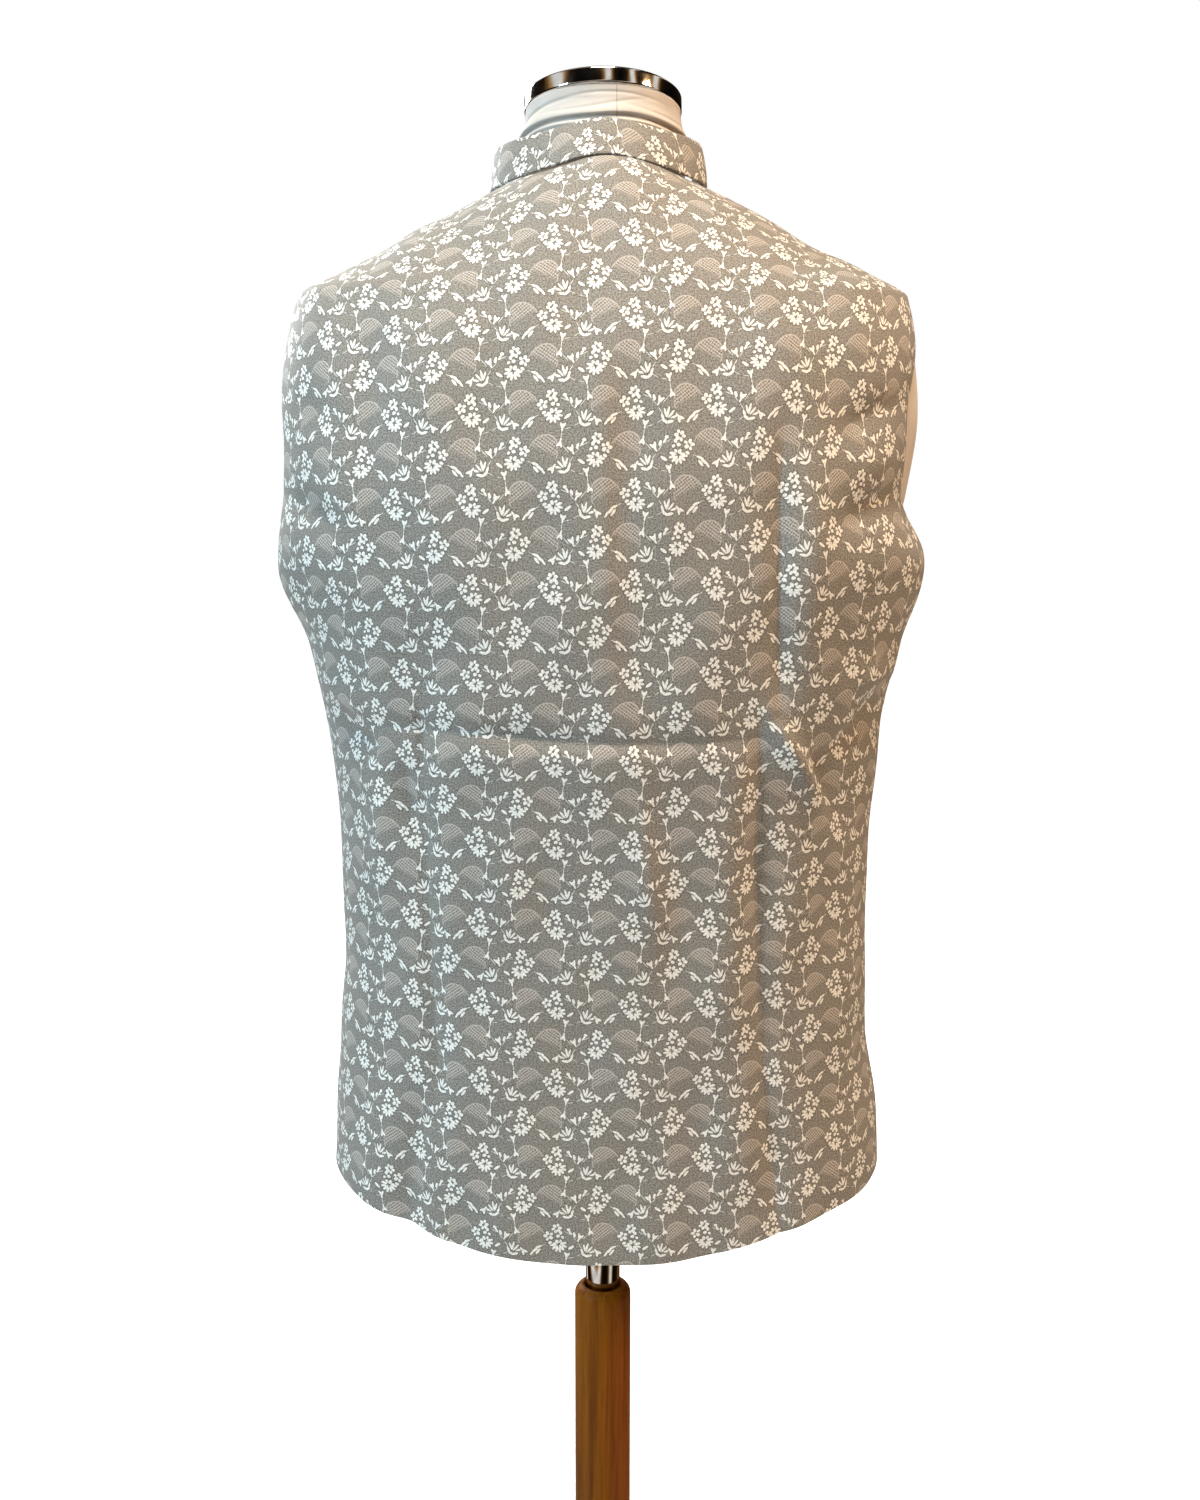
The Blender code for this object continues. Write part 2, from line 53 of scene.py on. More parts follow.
jacketShape = {
    "columns": ("height", "left", "right", "back", "front", "power"),
    "rows": (
        (-0.030, 0.1920, 0.2000, 0.1230, 0.1120, 2.30),
        (0.020, 0.1925, 0.1990, 0.1230, 0.1120, 2.30),
        (0.070, 0.1900, 0.1945, 0.1230, 0.1110, 2.30),
        (0.130, 0.1840, 0.1865, 0.1245, 0.1090, 2.30),
        (0.200, 0.1805, 0.1840, 0.1280, 0.1080, 2.30),
        (0.270, 0.1815, 0.1845, 0.1335, 0.1090, 2.30),
        (0.340, 0.1870, 0.1890, 0.1400, 0.1120, 2.30),
        (0.400, 0.1990, 0.2005, 0.1445, 0.1170, 2.32),
        (0.455, 0.2165, 0.2145, 0.1470, 0.1210, 2.45),
        (0.500, 0.2130, 0.1995, 0.1470, 0.1190, 2.60),
        (0.550, 0.2125, 0.2005, 0.1415, 0.1100, 2.60),
        (0.590, 0.2085, 0.2050, 0.1330, 0.0920, 2.50),
        (0.626, 0.2005, 0.2005, 0.1195, 0.0660, 2.20),
        (0.640, 0.1735, 0.1735, 0.1135, 0.0570, 2.05),
        (0.664, 0.1270, 0.1270, 0.1000, 0.0400, 2.00),
        (0.677, 0.1020, 0.1020, 0.0925, 0.0310, 2.00),
        (0.689, 0.0785, 0.0785, 0.0840, 0.0210, 2.00),
        (0.700, 0.0570, 0.0570, 0.0745, 0.0130, 2.00),
        (0.715, 0.0280, 0.0280, 0.0560, 0.0040, 2.00),
    ),
    "cloth": 0.0020,
    "edgeRadius": 0.0010,
    "seamGap": 0.0003,
    "hemRise": 0.031,
    "hemPower": 3.0,
    "underarm": 0.460,
    "shoulderTip": 0.626,
    "armholeReach": {"back": 0.058, "front": 0.064},
    "armholeSkew": 0.72,
    "armholeFullness": 0.55,
    "neckCentre": (0.0030, -0.0045),
    "neckHalfWidth": 0.0705,
    "neckHalfDepth": 0.0710,
    "lap": 0.0125,
    "lapDrop": 0.0024,
    "lapEase": (-0.048, -0.017),
}

formShape = {
    "columns": ("height", "left", "right", "back", "front", "power"),
    "rows": (
        (0.045, 0.1500, 0.1500, 0.0950, 0.0880, 2.20),
        (0.100, 0.1570, 0.1570, 0.1030, 0.0920, 2.20),
        (0.170, 0.1500, 0.1500, 0.1020, 0.0880, 2.20),
        (0.250, 0.1460, 0.1460, 0.1070, 0.0880, 2.20),
        (0.330, 0.1560, 0.1560, 0.1200, 0.0960, 2.20),
        (0.400, 0.1740, 0.1740, 0.1330, 0.1070, 2.15),
        (0.455, 0.1910, 0.1910, 0.1400, 0.1140, 2.10),
        (0.500, 0.2030, 0.2030, 0.1420, 0.1130, 1.98),
        (0.550, 0.2095, 0.2095, 0.1370, 0.1050, 1.92),
        (0.590, 0.2060, 0.2060, 0.1275, 0.0825, 1.92),
        (0.612, 0.1985, 0.1985, 0.1205, 0.0660, 1.95),
        (0.626, 0.1880, 0.1880, 0.1140, 0.0565, 1.98),
        (0.640, 0.1640, 0.1640, 0.1080, 0.0480, 2.00),
        (0.664, 0.1180, 0.1180, 0.0940, 0.0340, 2.00),
        (0.677, 0.0900, 0.0900, 0.0830, 0.0240, 2.00),
        (0.689, 0.0620, 0.0620, 0.0700, 0.0140, 2.00),
        (0.702, 0.0320, 0.0320, 0.0460, 0.0060, 2.00),
        (0.725, 0.0100, 0.0100, 0.0100, 0.0020, 2.00),
    ),
    "bottom": 0.045,
    "neckHalfWidth": 0.0535,
    "neckBack": 0.0475,
    "neckFront": 0.0560,
    "neckBlend": 12,
    "neckTaper": 0.06,
    "neckTaperFrom": 0.715,
    "neckTaperLength": 0.030,
}


def eased(share):
    # 0 below 0, 1 above 1 and t*t*(3 - 2t) between them
    t = np.clip(share, 0, 1)
    return t * t * (3 - 2 * t)


def tableCurve(shape, name, height):
    # a cubic through one column of the table, its slopes the harmonic mean of the neighbours', so that
    # it never overshoots
    at = np.array([row[0] for row in shape["rows"]])
    values = np.array([row[shape["columns"].index(name)] for row in shape["rows"]])
    steps = np.diff(at)
    slopes = np.diff(values) / steps
    before, after = slopes[:-1], slopes[1:]
    same = before * after > 0
    inner = np.where(same, 2 * before * after / np.where(same, before + after, 1.0), 0.0)
    tangents = np.concatenate([slopes[:1], inner, slopes[-1:]])
    height = np.clip(height, at[0], at[-1])
    k = np.clip(np.searchsorted(at, height, side="right") - 1, 0, len(steps) - 1)
    t = (height - at[k]) / steps[k]
    level = values[k] * (2 * t**3 - 3 * t**2 + 1) + values[k + 1] * (3 * t**2 - 2 * t**3)
    return level + (tangents[k] * (t**3 - 2 * t**2 + t) + tangents[k + 1] * (t**3 - t**2)) * steps[k]


def sectionRadius(shape, angle, height):
    # superellipse in polar form: r = (|cos/a|^n + |sin/b|^n)^(-1/n), with its own a and b for each side
    cosine, sine = np.cos(angle), np.sin(angle)
    width = np.where(cosine > 0, tableCurve(shape, "left", height), tableCurve(shape, "right", height))
    depth = np.where(sine > 0, tableCurve(shape, "back", height), tableCurve(shape, "front", height))
    power = tableCurve(shape, "power", height)
    return (np.abs(cosine / width) ** power + np.abs(sine / depth) ** power) ** (-1 / power)


def jacketPoint(angle, height):
    # the jacket's smooth outer face, without creases
    radius = sectionRadius(jacketShape, angle, height)
    return np.stack([radius * np.cos(angle), radius * np.sin(angle), height], axis=-1)


def formRadius(angle, height):
    # torso section and neck oval, joined as (torso^p + neck^p)^(1/p)
    torso = sectionRadius(formShape, angle, height)
    deep = np.where(np.sin(angle) > 0, formShape["neckBack"], formShape["neckFront"])
    upward = (height - formShape["neckTaperFrom"]) / formShape["neckTaperLength"]
    narrow = 1 - formShape["neckTaper"] * eased(upward)
    neck = narrow / np.hypot(np.cos(angle) / formShape["neckHalfWidth"], np.sin(angle) / deep)
    blend = formShape["neckBlend"]
    return (torso**blend + neck**blend) ** (1 / blend)


def outwardNormal(angle, height):
    # cross product of the steps round and up the smooth face
    step = 1e-4
    roundStep = jacketPoint(angle + step, height) - jacketPoint(angle - step, height)
    upStep = jacketPoint(angle, height + step) - jacketPoint(angle, height - step)
    cross = np.cross(roundStep, upStep)
    return cross / np.linalg.norm(cross, axis=-1, keepdims=True)


def solveNeck(angle):
    # height where the face meets the upright oval of the neck, found by halving
    low = np.full(np.shape(angle), jacketShape["underarm"])
    high = np.full(np.shape(angle), jacketShape["rows"][-1][0])
    for _ in range(34):
        middle = (low + high) / 2
        point = jacketPoint(angle, middle)
        across = (point[..., 0] - jacketShape["neckCentre"][0]) / jacketShape["neckHalfWidth"]
        along = (point[..., 1] - jacketShape["neckCentre"][1]) / jacketShape["neckHalfDepth"]
        outside = np.hypot(across, along) > 1
        low = np.where(outside, middle, low)
        high = np.where(outside, high, middle)
    return (low + high) / 2


tableAngles = np.linspace(-math.pi - 0.1, math.pi + 0.1, 1601)
tableNeck = solveNeck(tableAngles)


def neckHeight(angle):
    return np.interp(angle, tableAngles, tableNeck)


def hemHeight(angle):
    return jacketShape["hemRise"] * np.abs(np.cos(angle)) ** jacketShape["hemPower"]


def heightAt(angle, share):
    # a share of the way from the hem, 0, to the neckline, 1
    low = hemHeight(angle)
    return low + share * (neckHeight(angle) - low)


# Each row is a soft trough along a line from one point to another on the back or the front, pushed
# sideways by bow at its middle. Its depth is negative for a ridge. Widths are those of its side towards
# the wearer's left (for a level one, upwards) and of the other side. Power 2 is round, 1 is sharp.
creases = {
    # face, x0, z0, x1, z1, bow, widthA, widthB, power, depth
    "rows": (
        # waist line across the back
        ("back", 0.158, 0.358, 0.020, 0.354, 0.002, 0.006, 0.004, 1.2, 0.0034),
        ("back", 0.060, 0.355, -0.100, 0.353, -0.002, 0.006, 0.004, 1.2, 0.0028),
        ("back", 0.130, 0.340, -0.085, 0.338, 0.002, 0.010, 0.016, 2.0, -0.0016),
        # shaping line on the wearer's right
        ("back", -0.107, 0.540, -0.110, 0.366, 0.001, 0.010, 0.008, 1.15, 0.0070),
        ("back", -0.128, 0.520, -0.128, 0.380, 0.000, 0.012, 0.014, 2.0, -0.0026),
        ("back", -0.098, 0.366, -0.104, 0.150, 0.001, 0.010, 0.0075, 1.15, 0.0080),
        ("back", -0.104, 0.175, -0.123, -0.010, 0.003, 0.011, 0.009, 1.2, 0.0062),
        ("back", -0.082, 0.330, -0.082, 0.060, 0.002, 0.012, 0.014, 2.0, -0.0015),
        # ridge and hollows that run from it towards the side
        ("back", -0.104, 0.368, -0.150, 0.296, 0.002, 0.008, 0.006, 1.5, -0.0068),
        ("back", -0.134, 0.346, -0.156, 0.286, 0.003, 0.007, 0.011, 1.4, 0.0084),
        ("back", -0.182, 0.372, -0.142, 0.338, -0.003, 0.006, 0.010, 1.4, 0.0066),
        ("back", -0.184, 0.392, -0.156, 0.380, 0.000, 0.011, 0.009, 2.0, -0.0056),
        ("back", -0.140, 0.268, -0.160, 0.190, 0.003, 0.010, 0.012, 2.0, 0.0026),
        ("back", -0.160, 0.240, -0.166, 0.120, 0.002, 0.012, 0.012, 2.0, -0.0020),
        # shaping line on the wearer's left
        ("back", 0.112, 0.500, 0.116, 0.364, 0.002, 0.014, 0.016, 2.0, 0.0018),
        ("back", 0.117, 0.374, 0.114, 0.330, 0.000, 0.003, 0.005, 1.2, 0.0034),
        ("back", 0.115, 0.350, 0.108, 0.090, 0.002, 0.007, 0.007, 1.2, 0.0054),
        ("back", 0.126, 0.340, 0.119, 0.280, 0.003, 0.009, 0.007, 1.4, 0.0064),
        ("back", 0.143, 0.325, 0.138, 0.230, 0.002, 0.009, 0.010, 2.0, -0.0036),
        ("back", 0.094, 0.320, 0.092, 0.120, 0.002, 0.010, 0.012, 2.0, -0.0014),
        ("back", 0.172, 0.362, 0.143, 0.342, -0.002, 0.005, 0.008, 1.4, 0.0050),
        ("back", 0.172, 0.378, 0.146, 0.368, 0.000, 0.009, 0.007, 2.0, -0.0026),
        ("back", 0.118, 0.120, 0.134, -0.010, 0.003, 0.012, 0.012, 1.5, 0.0062),
        ("back", 0.150, 0.110, 0.152, 0.010, 0.002, 0.012, 0.012, 2.0, -0.0018),
        ("back", 0.098, 0.050, 0.094, -0.012, 0.000, 0.010, 0.010, 2.0, 0.0020),
        # shoulders and armholes
        ("back", 0.138, 0.615, 0.141, 0.500, 0.003, 0.012, 0.013, 1.7, 0.0048),
        ("back", 0.162, 0.600, 0.160, 0.500, 0.002, 0.010, 0.012, 2.0, -0.0016),
        ("back", -0.142, 0.608, -0.146, 0.520, 0.002, 0.014, 0.012, 2.0, 0.0018),
        ("back", -0.184, 0.560, -0.146, 0.540, 0.002, 0.007, 0.009, 1.6, 0.0050),
        ("back", -0.186, 0.502, -0.146, 0.486, 0.002, 0.008, 0.011, 1.6, 0.0060),
        ("back", -0.184, 0.528, -0.152, 0.516, 0.000, 0.009, 0.009, 2.0, -0.0020),
        ("back", -0.190, 0.450, -0.150, 0.420, 0.003, 0.011, 0.012, 2.0, 0.0024),
        ("back", 0.198, 0.500, 0.160, 0.482, 0.002, 0.007, 0.009, 1.6, 0.0048),
        ("back", 0.196, 0.448, 0.156, 0.420, 0.003, 0.010, 0.012, 2.0, 0.0026),
        ("back", 0.194, 0.560, 0.166, 0.548, 0.000, 0.009, 0.010, 2.0, 0.0018),
        # middle of the back
        ("back", -0.001, 0.610, -0.004, 0.372, 0.001, 0.020, 0.007, 1.5, -0.0028),
        ("back", -0.020, 0.590, -0.022, 0.380, 0.002, 0.012, 0.018, 2.0, 0.0014),
        ("back", -0.022, 0.346, -0.034, 0.215, 0.001, 0.018, 0.007, 1.5, -0.0036),
        ("back", -0.048, 0.340, -0.052, 0.200, 0.002, 0.012, 0.016, 2.0, 0.0014),
        ("back", 0.052, 0.600, 0.046, 0.480, 0.003, 0.018, 0.018, 2.0, 0.0012),
        ("back", -0.062, 0.606, -0.058, 0.470, 0.003, 0.020, 0.016, 2.0, 0.0013),
        ("back", 0.036, 0.300, 0.028, 0.040, 0.004, 0.022, 0.018, 2.0, 0.0015),
        ("back", 0.066, 0.160, 0.064, -0.010, 0.002, 0.016, 0.018, 2.0, -0.0014),
        ("back", -0.056, 0.150, -0.066, -0.012, 0.003, 0.018, 0.018, 2.0, 0.0018),
        # left front
        ("front", 0.104, 0.440, 0.086, 0.180, 0.003, 0.012, 0.009, 1.3, 0.0066),
        ("front", 0.092, 0.190, 0.126, 0.000, 0.004, 0.014, 0.012, 1.6, 0.0054),
        ("front", 0.160, 0.356, 0.052, 0.346, 0.003, 0.008, 0.006, 1.3, 0.0036),
        ("front", 0.140, 0.338, 0.112, 0.262, 0.003, 0.011, 0.010, 1.9, -0.0040),
        ("front", 0.152, 0.330, 0.138, 0.250, 0.003, 0.011, 0.012, 1.9, 0.0034),
        ("front", 0.180, 0.530, 0.128, 0.500, 0.004, 0.010, 0.011, 1.8, 0.0034),
        ("front", 0.186, 0.468, 0.134, 0.432, 0.004, 0.011, 0.012, 1.8, 0.0036),
        ("front", 0.128, 0.604, 0.112, 0.520, 0.003, 0.013, 0.012, 2.0, 0.0022),
        ("front", 0.018, 0.486, 0.062, 0.470, 0.002, 0.006, 0.007, 1.8, 0.0020),
        ("front", 0.016, 0.376, 0.070, 0.392, -0.002, 0.006, 0.008, 1.8, 0.0022),
        ("front", 0.018, 0.266, 0.060, 0.256, 0.002, 0.006, 0.007, 1.8, 0.0018),
        ("front", 0.056, 0.300, 0.050, 0.060, 0.003, 0.016, 0.016, 2.0, 0.0030),
        # right front
        ("front", -0.102, 0.430, -0.088, 0.170, 0.003, 0.009, 0.012, 1.3, 0.0070),
        ("front", -0.090, 0.176, -0.118, 0.000, 0.004, 0.012, 0.014, 1.6, 0.0052),
        ("front", -0.166, 0.348, -0.062, 0.358, 0.003, 0.008, 0.006, 1.3, 0.0038),
        ("front", -0.150, 0.372, -0.116, 0.300, 0.003, 0.010, 0.011, 1.9, -0.0036),
        ("front", -0.156, 0.330, -0.136, 0.230, 0.003, 0.012, 0.011, 1.9, 0.0036),
        ("front", -0.176, 0.520, -0.124, 0.486, 0.004, 0.010, 0.011, 1.8, 0.0036),
        ("front", -0.180, 0.462, -0.140, 0.420, 0.004, 0.011, 0.012, 1.8, 0.0030),
        ("front", -0.126, 0.596, -0.116, 0.516, 0.003, 0.012, 0.013, 2.0, 0.0020),
        ("front", -0.022, 0.480, -0.066, 0.462, 0.002, 0.006, 0.007, 1.8, 0.0020),
        ("front", -0.022, 0.372, -0.058, 0.384, 0.002, 0.006, 0.008, 1.8, 0.0018),
        ("front", -0.060, 0.280, -0.054, 0.050, 0.003, 0.016, 0.016, 2.0, 0.0032),
    ),
    "waver": 0.0010,  # height of the slow unevenness that lies over all of it
    "bandFlat": (0.018, 0.040),  # across from centre front
}


def creaseDepth(points):
    # sum over the rows of depth * taper(t) * exp(-|e/w|^p), with t the share along the line and e the
    # distance across it; past its ends the overrun widens e
    x, z = points[..., 0], points[..., 2]
    behind = points[..., 1] > 0
    total = np.zeros_like(x)
    for face, x0, z0, x1, z1, bow, widthA, widthB, power, depth in creases["rows"]:
        runX, runZ = x1 - x0, z1 - z0
        length = math.hypot(runX, runZ)
        along = ((x - x0) * runX + (z - z0) * runZ) / length
        aside = np.array([-runZ, runX]) / length
        aside *= np.sign(aside[0] if abs(runZ) > abs(runX) else aside[1])
        across = (x - x0) * aside[0] + (z - z0) * aside[1]
        t = np.clip(along / length, 0, 1)
        across = across - bow * 4 * t * (1 - t)
        over = np.maximum(0, np.maximum(-along, along - length))
        width = np.where(across > 0, widthA, widthB)
        shape = np.exp(-(np.hypot(across, over) / width) ** power)
        taper = np.sin(math.pi * np.clip(t, 0.04, 0.96)) ** 0.55
        total += np.where(behind == (face == "back"), depth * taper * shape, 0)
    slow = np.sin(2 * math.pi * (x / 0.083 + z / 0.31) + 1.0) * np.sin(2 * math.pi * (z / 0.19 - x / 0.41))
    slow += 0.6 * np.sin(2 * math.pi * (x / 0.047 - z / 0.23) + 0.4) * np.cos(2 * math.pi * z / 0.117 + 2.0)
    # the button band is faced and stays flat: nothing within its half width, all of it at the reach
    band, reach = creases["bandFlat"]
    free = eased((np.abs(x) - band) / (reach - band))
    return (total + creases["waver"] * slow) * np.where(behind, 1.0, free)


def gridFaces(rows, columns, start=0, closed=False, inward=False):
    # quads of a grid of points stored row by row; closed joins the last column to the first
    row = np.arange(rows - 1)[:, None] * columns
    column = np.arange(columns if closed else columns - 1)[None, :]
    after = (column + 1) % columns
    corners = [row + column, row + after, row + columns + after, row + columns + column]
    if inward:
        corners = corners[::-1]
    return np.stack([corner.ravel() for corner in corners], axis=1) + start


def stripFaces(first, second):
    # quads between two lines of point numbers
    return np.stack([first[:-1], first[1:], second[1:], second[:-1]], axis=1)


def tipFaces(sides, count):
    # fans from the first and the last ring of count points to the two tips that come after them
    number = np.arange(sides)
    after = (number + 1) % sides
    last = count - sides
    low = np.stack([after, number, np.full(sides, count)], axis=1)
    return [low, np.stack([last + number, last + after, np.full(sides, count + 1)], axis=1)]


def addPiece(name, points, faces, finish, uv=None):
    # puts points and lists of faces into a smooth mesh, with its flat cloth coordinates if it has them
    mesh = bpy.data.meshes.new(name)
    mesh.from_pydata(points.tolist(), [], [face for part in faces for face in part.tolist()])
    if uv is not None:
        layer = mesh.uv_layers.new(name="clothMap")
        corner = np.empty(len(mesh.loops), dtype=np.int32)
        mesh.loops.foreach_get("vertex_index", corner)
        layer.data.foreach_set("uv", uv[corner].astype(np.float32).ravel())
    mesh.materials.append(finish)
    mesh.shade_smooth()
    mesh.validate()
    piece = bpy.data.objects.new(name, mesh)
    bpy.context.scene.collection.objects.link(piece)
    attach(piece, "root")
    return piece


def addWall(name, outer, inner, flat, finish):
    # a closed wall: outer grid, inner grid turned the other way, and strips along its four borders
    rows, columns = outer.shape[:2]
    count = rows * columns
    number = np.arange(count).reshape(rows, columns)
    faces = [
        gridFaces(rows, columns),
        gridFaces(rows, columns, start=count, inward=True),
        stripFaces(number[0] + count, number[0]),
        stripFaces(number[-1], number[-1] + count),
        stripFaces(number[:, 0], number[:, 0] + count),
        stripFaces(number[:, -1] + count, number[:, -1]),
    ]
    points = np.concatenate([outer.reshape(-1, 3), inner.reshape(-1, 3)])
    uv = np.concatenate([flat.reshape(-1, 2), flat.reshape(-1, 2)])
    return addPiece(name, points, faces, finish, uv)


def addLathe(name, profile, finish, steps=96, turned=None, place=(0, 0, 0)):
    # points (r cos a, r sin a, z) of a profile listed upward; ends at r = 0 close to one point
    profile = np.array(profile, dtype=float)
    angle = np.linspace(0, 2 * math.pi, steps, endpoint=False)
    ring = np.stack([np.cos(angle), np.sin(angle), np.zeros(steps)], axis=-1)
    body = profile[1:-1]
    points = body[:, None, :1] * ring + body[:, None, 1:] * np.array([0, 0, 1.0])
    count = len(body) * steps
    tips = np.array([[0, 0, profile[0, 1]], [0, 0, profile[-1, 1]]])
    points = np.concatenate([points.reshape(-1, 3), tips])
    if turned is not None:
        points = points @ np.array(turned).T
    faces = [gridFaces(len(body), steps, closed=True), *tipFaces(steps, count)]
    return addPiece(name, points + np.array(place), faces, finish)


def roundEdge(centre, radius, start, end, steps):
    # arc of a profile, from one angle to the other in degrees, 0 pointing outward and 90 up
    turn = np.radians(np.linspace(start, end, steps))
    return [(centre[0] + radius * math.cos(t), centre[1] + radius * math.sin(t)) for t in turn]


def linear(code):
    # sRGB hex to linear red, green, blue and 1
    values = np.array([int(code[k : k + 2], 16) for k in (1, 3, 5)]) / 255
    values = np.where(values <= 0.04045, values / 12.92, ((values + 0.055) / 1.055) ** 2.4)
    return (*values.tolist(), 1.0)


def addNode(tree, kind, settings=None, inputs=None):
    # one node, its own settings, and its inputs by name or number, each a value or another node, or a
    # pair of a node and the name of its output
    node = tree.nodes.new("ShaderNode" + kind)
    for name, value in (settings or {}).items():
        setattr(node, name, value)
    for name, value in (inputs or {}).items():
        socket = node.inputs[name]
        if isinstance(value, bpy.types.Node):
            tree.links.new(value.outputs[0], socket)
        elif isinstance(value, tuple) and isinstance(value[0], bpy.types.Node):
            tree.links.new(value[0].outputs[value[1]], socket)
        elif isinstance(value, str):
            socket.default_value = linear(value)
        else:
            socket.default_value = value
    return node


def maths(tree, operation, *values):
    return addNode(tree, "Math", {"operation": operation}, dict(enumerate(values)))


def fade(tree, value, start, end, low=0.0, high=1.0):
    # a smooth step of value from low at start to high at end
    inputs = {0: value, 1: start, 2: end, 3: low, 4: high}
    return addNode(tree, "MapRange", {"interpolation_type": "SMOOTHSTEP"}, inputs)


def blend(tree, share, one, two):
    return addNode(tree, "Mix", {"data_type": "RGBA"}, {0: share, 6: one, 7: two})


def dot(tree, point, direction):
    return addNode(tree, "VectorMath", {"operation": "DOT_PRODUCT"}, {0: point, 1: direction})


def clothNoise(tree, scaled, settings):
    return addNode(tree, "TexNoise", {"noise_dimensions": "2D"}, {"Vector": scaled, **settings})


def newMaterial(name, settings):
    # a material whose shader has these settings, and the shader's node
    made = bpy.data.materials.new(name)
    made.use_nodes = True
    tree = made.node_tree
    tree.nodes.clear()
    shader = addNode(tree, "BsdfPrincipled", None, settings)
    addNode(tree, "OutputMaterial", None, {"Surface": shader})
    return made, tree, shader


def addRamp(tree, factor, stops):
    # colours at places along a factor
    ramp = addNode(tree, "ValToRGB", None, {"Fac": factor})
    while len(ramp.color_ramp.elements) < len(stops):
        ramp.color_ramp.elements.new(0.5)
    for element, (place, colour) in zip(ramp.color_ramp.elements, stops):
        element.position = place
        element.color = linear(colour)
    return ramp


# One row of the figure, in millimetres from the middle of its cluster of small flowers. The next row
# has the same figure turned left to right, so a shape is an ellipse (x, y, half length, half width,
# turn in degrees from level).
figure = {
    "repeat": 48.7,
    "pitch": 26.9,
    "shift": 0.60,  # of the repeat, from one row to the next
    "start": (-0.0316, 0.5022),  # a cluster of an unturned row, across from centre back and up
}


def flowerHead(x, y, petals, reach, length, width, start, sweep=360.0):
    # petals on a circle, each pointing away from its middle, their sizes uneven by a slow wave
    made = []
    for k in range(petals):
        turn = start + sweep * k / (petals if sweep == 360.0 else petals - 1)
        away = math.radians(turn)
        size = 1 + 0.13 * math.sin(2.4 * k + x + y)
        placeX = x + reach * (2 - size) * math.cos(away)
        placeY = y + reach * (2 - size) * math.sin(away)
        made.append((placeX, placeY, length * size, width * size, turn))
    return made


def trumpet(x, y, turn, size=2.0, spread=24.0):
    # three petals that part from one throat, and the throat
    made = []
    for side, share in ((-spread, 1.0), (0.0, 0.7), (spread, 1.0)):
        away = math.radians(turn + side)
        reach = 0.75 * size * share
        made.append((x + reach * math.cos(away), y + reach * math.sin(away), size * share, 0.7, turn + side))
    away = math.radians(turn)
    made.append((x - 0.7 * math.cos(away), y - 0.7 * math.sin(away), 1.6, 0.55, turn))
    return made


def stem(x0, y0, x1, y1, width):
    # a thin stretch between two points
    turn = math.degrees(math.atan2(y1 - y0, x1 - x0))
    return (x0 + x1) / 2, (y0 + y1) / 2, 0.56 * math.hypot(x1 - x0, y1 - y0), width, turn


def figureShapes():
    # a cluster of small flower heads over one with longer petals, the buds and leaves on its sprig, a
    # trumpet flower, a crown of leaves in a cup, two bells on one stem, and a loose sprig
    shapes = flowerHead(1.2, 7.7, 6, 2.3, 1.2, 0.95, 12)
    shapes += flowerHead(-4.3, 2.2, 5, 2.15, 1.25, 0.98, 35)
    shapes += flowerHead(3.5, 2.9, 3, 1.75, 1.15, 0.95, 80)
    shapes += flowerHead(2.2, -3.7, 3, 2.5, 1.25, 0.9, 60, 110)
    shapes += flowerHead(2.2, -3.7, 7, 3.5, 1.95, 0.8, -172, 190)
    shapes += [(-3.3, -2.6, 1.25, 0.9, 30)]
    shapes += [(8.9, 7.2, 1.15, 0.95, 0), (10.0, 5.3, 2.0, 0.6, -58), (12.8, 3.7, 1.75, 0.85, -75)]
    shapes += [(10.6, -5.4, 2.2, 0.85, 35)]
    shapes += trumpet(15.9, 1.0, 64, 2.2, 26)
    shapes += [(19.4, -5.4, 2.5, 0.62, 104), (21.0, -5.2, 3.1, 0.68, 76)]
    shapes += [(22.9, -6.5, 2.6, 0.62, 50), (24.3, -8.2, 1.8, 0.55, 24)]
    shapes += [(17.8, -7.9, 2.1, 0.72, -72), (19.0, -10.3, 1.9, 0.85, -38), (21.9, -11.0, 2.3, 0.85, 12)]
    shapes += trumpet(27.2, -8.0, -52, 2.1, 28)
    shapes += trumpet(21.7, 14.9, 98, 1.9, 28) + trumpet(23.0, 6.5, -74, 1.9, 27)
    shapes += [(-10.8, -5.6, 2.2, 0.72, 22), (-13.5, -8.1, 2.7, 0.82, 40), (-11.3, -8.9, 2.3, 0.75, 52)]
    shapes += [(-15.6, -10.4, 1.5, 0.6, 55)]
    return shapes


def figureStems():
    # the thin stalks between them
    stretches = (
        (5.4, 6.2, 11.2, 3.4, 0.34),
        (11.2, 3.4, 14.8, -1.4, 0.34),
        (14.8, -1.4, 18.2, -6.6, 0.34),
        (22.4, 5.4, 17.2, -0.8, 0.34),
        (21.9, 13.6, 22.8, 7.8, 0.36),
        (21.6, 13.8, 16.0, 14.9, 0.3),
        (16.0, 14.9, 11.2, 17.6, 0.3),
        (23.6, -9.4, 26.6, -7.8, 0.36),
        (-5.6, -3.4, -10.2, -5.4, 0.3),
    )
    return [stem(*stretch) for stretch in stretches]


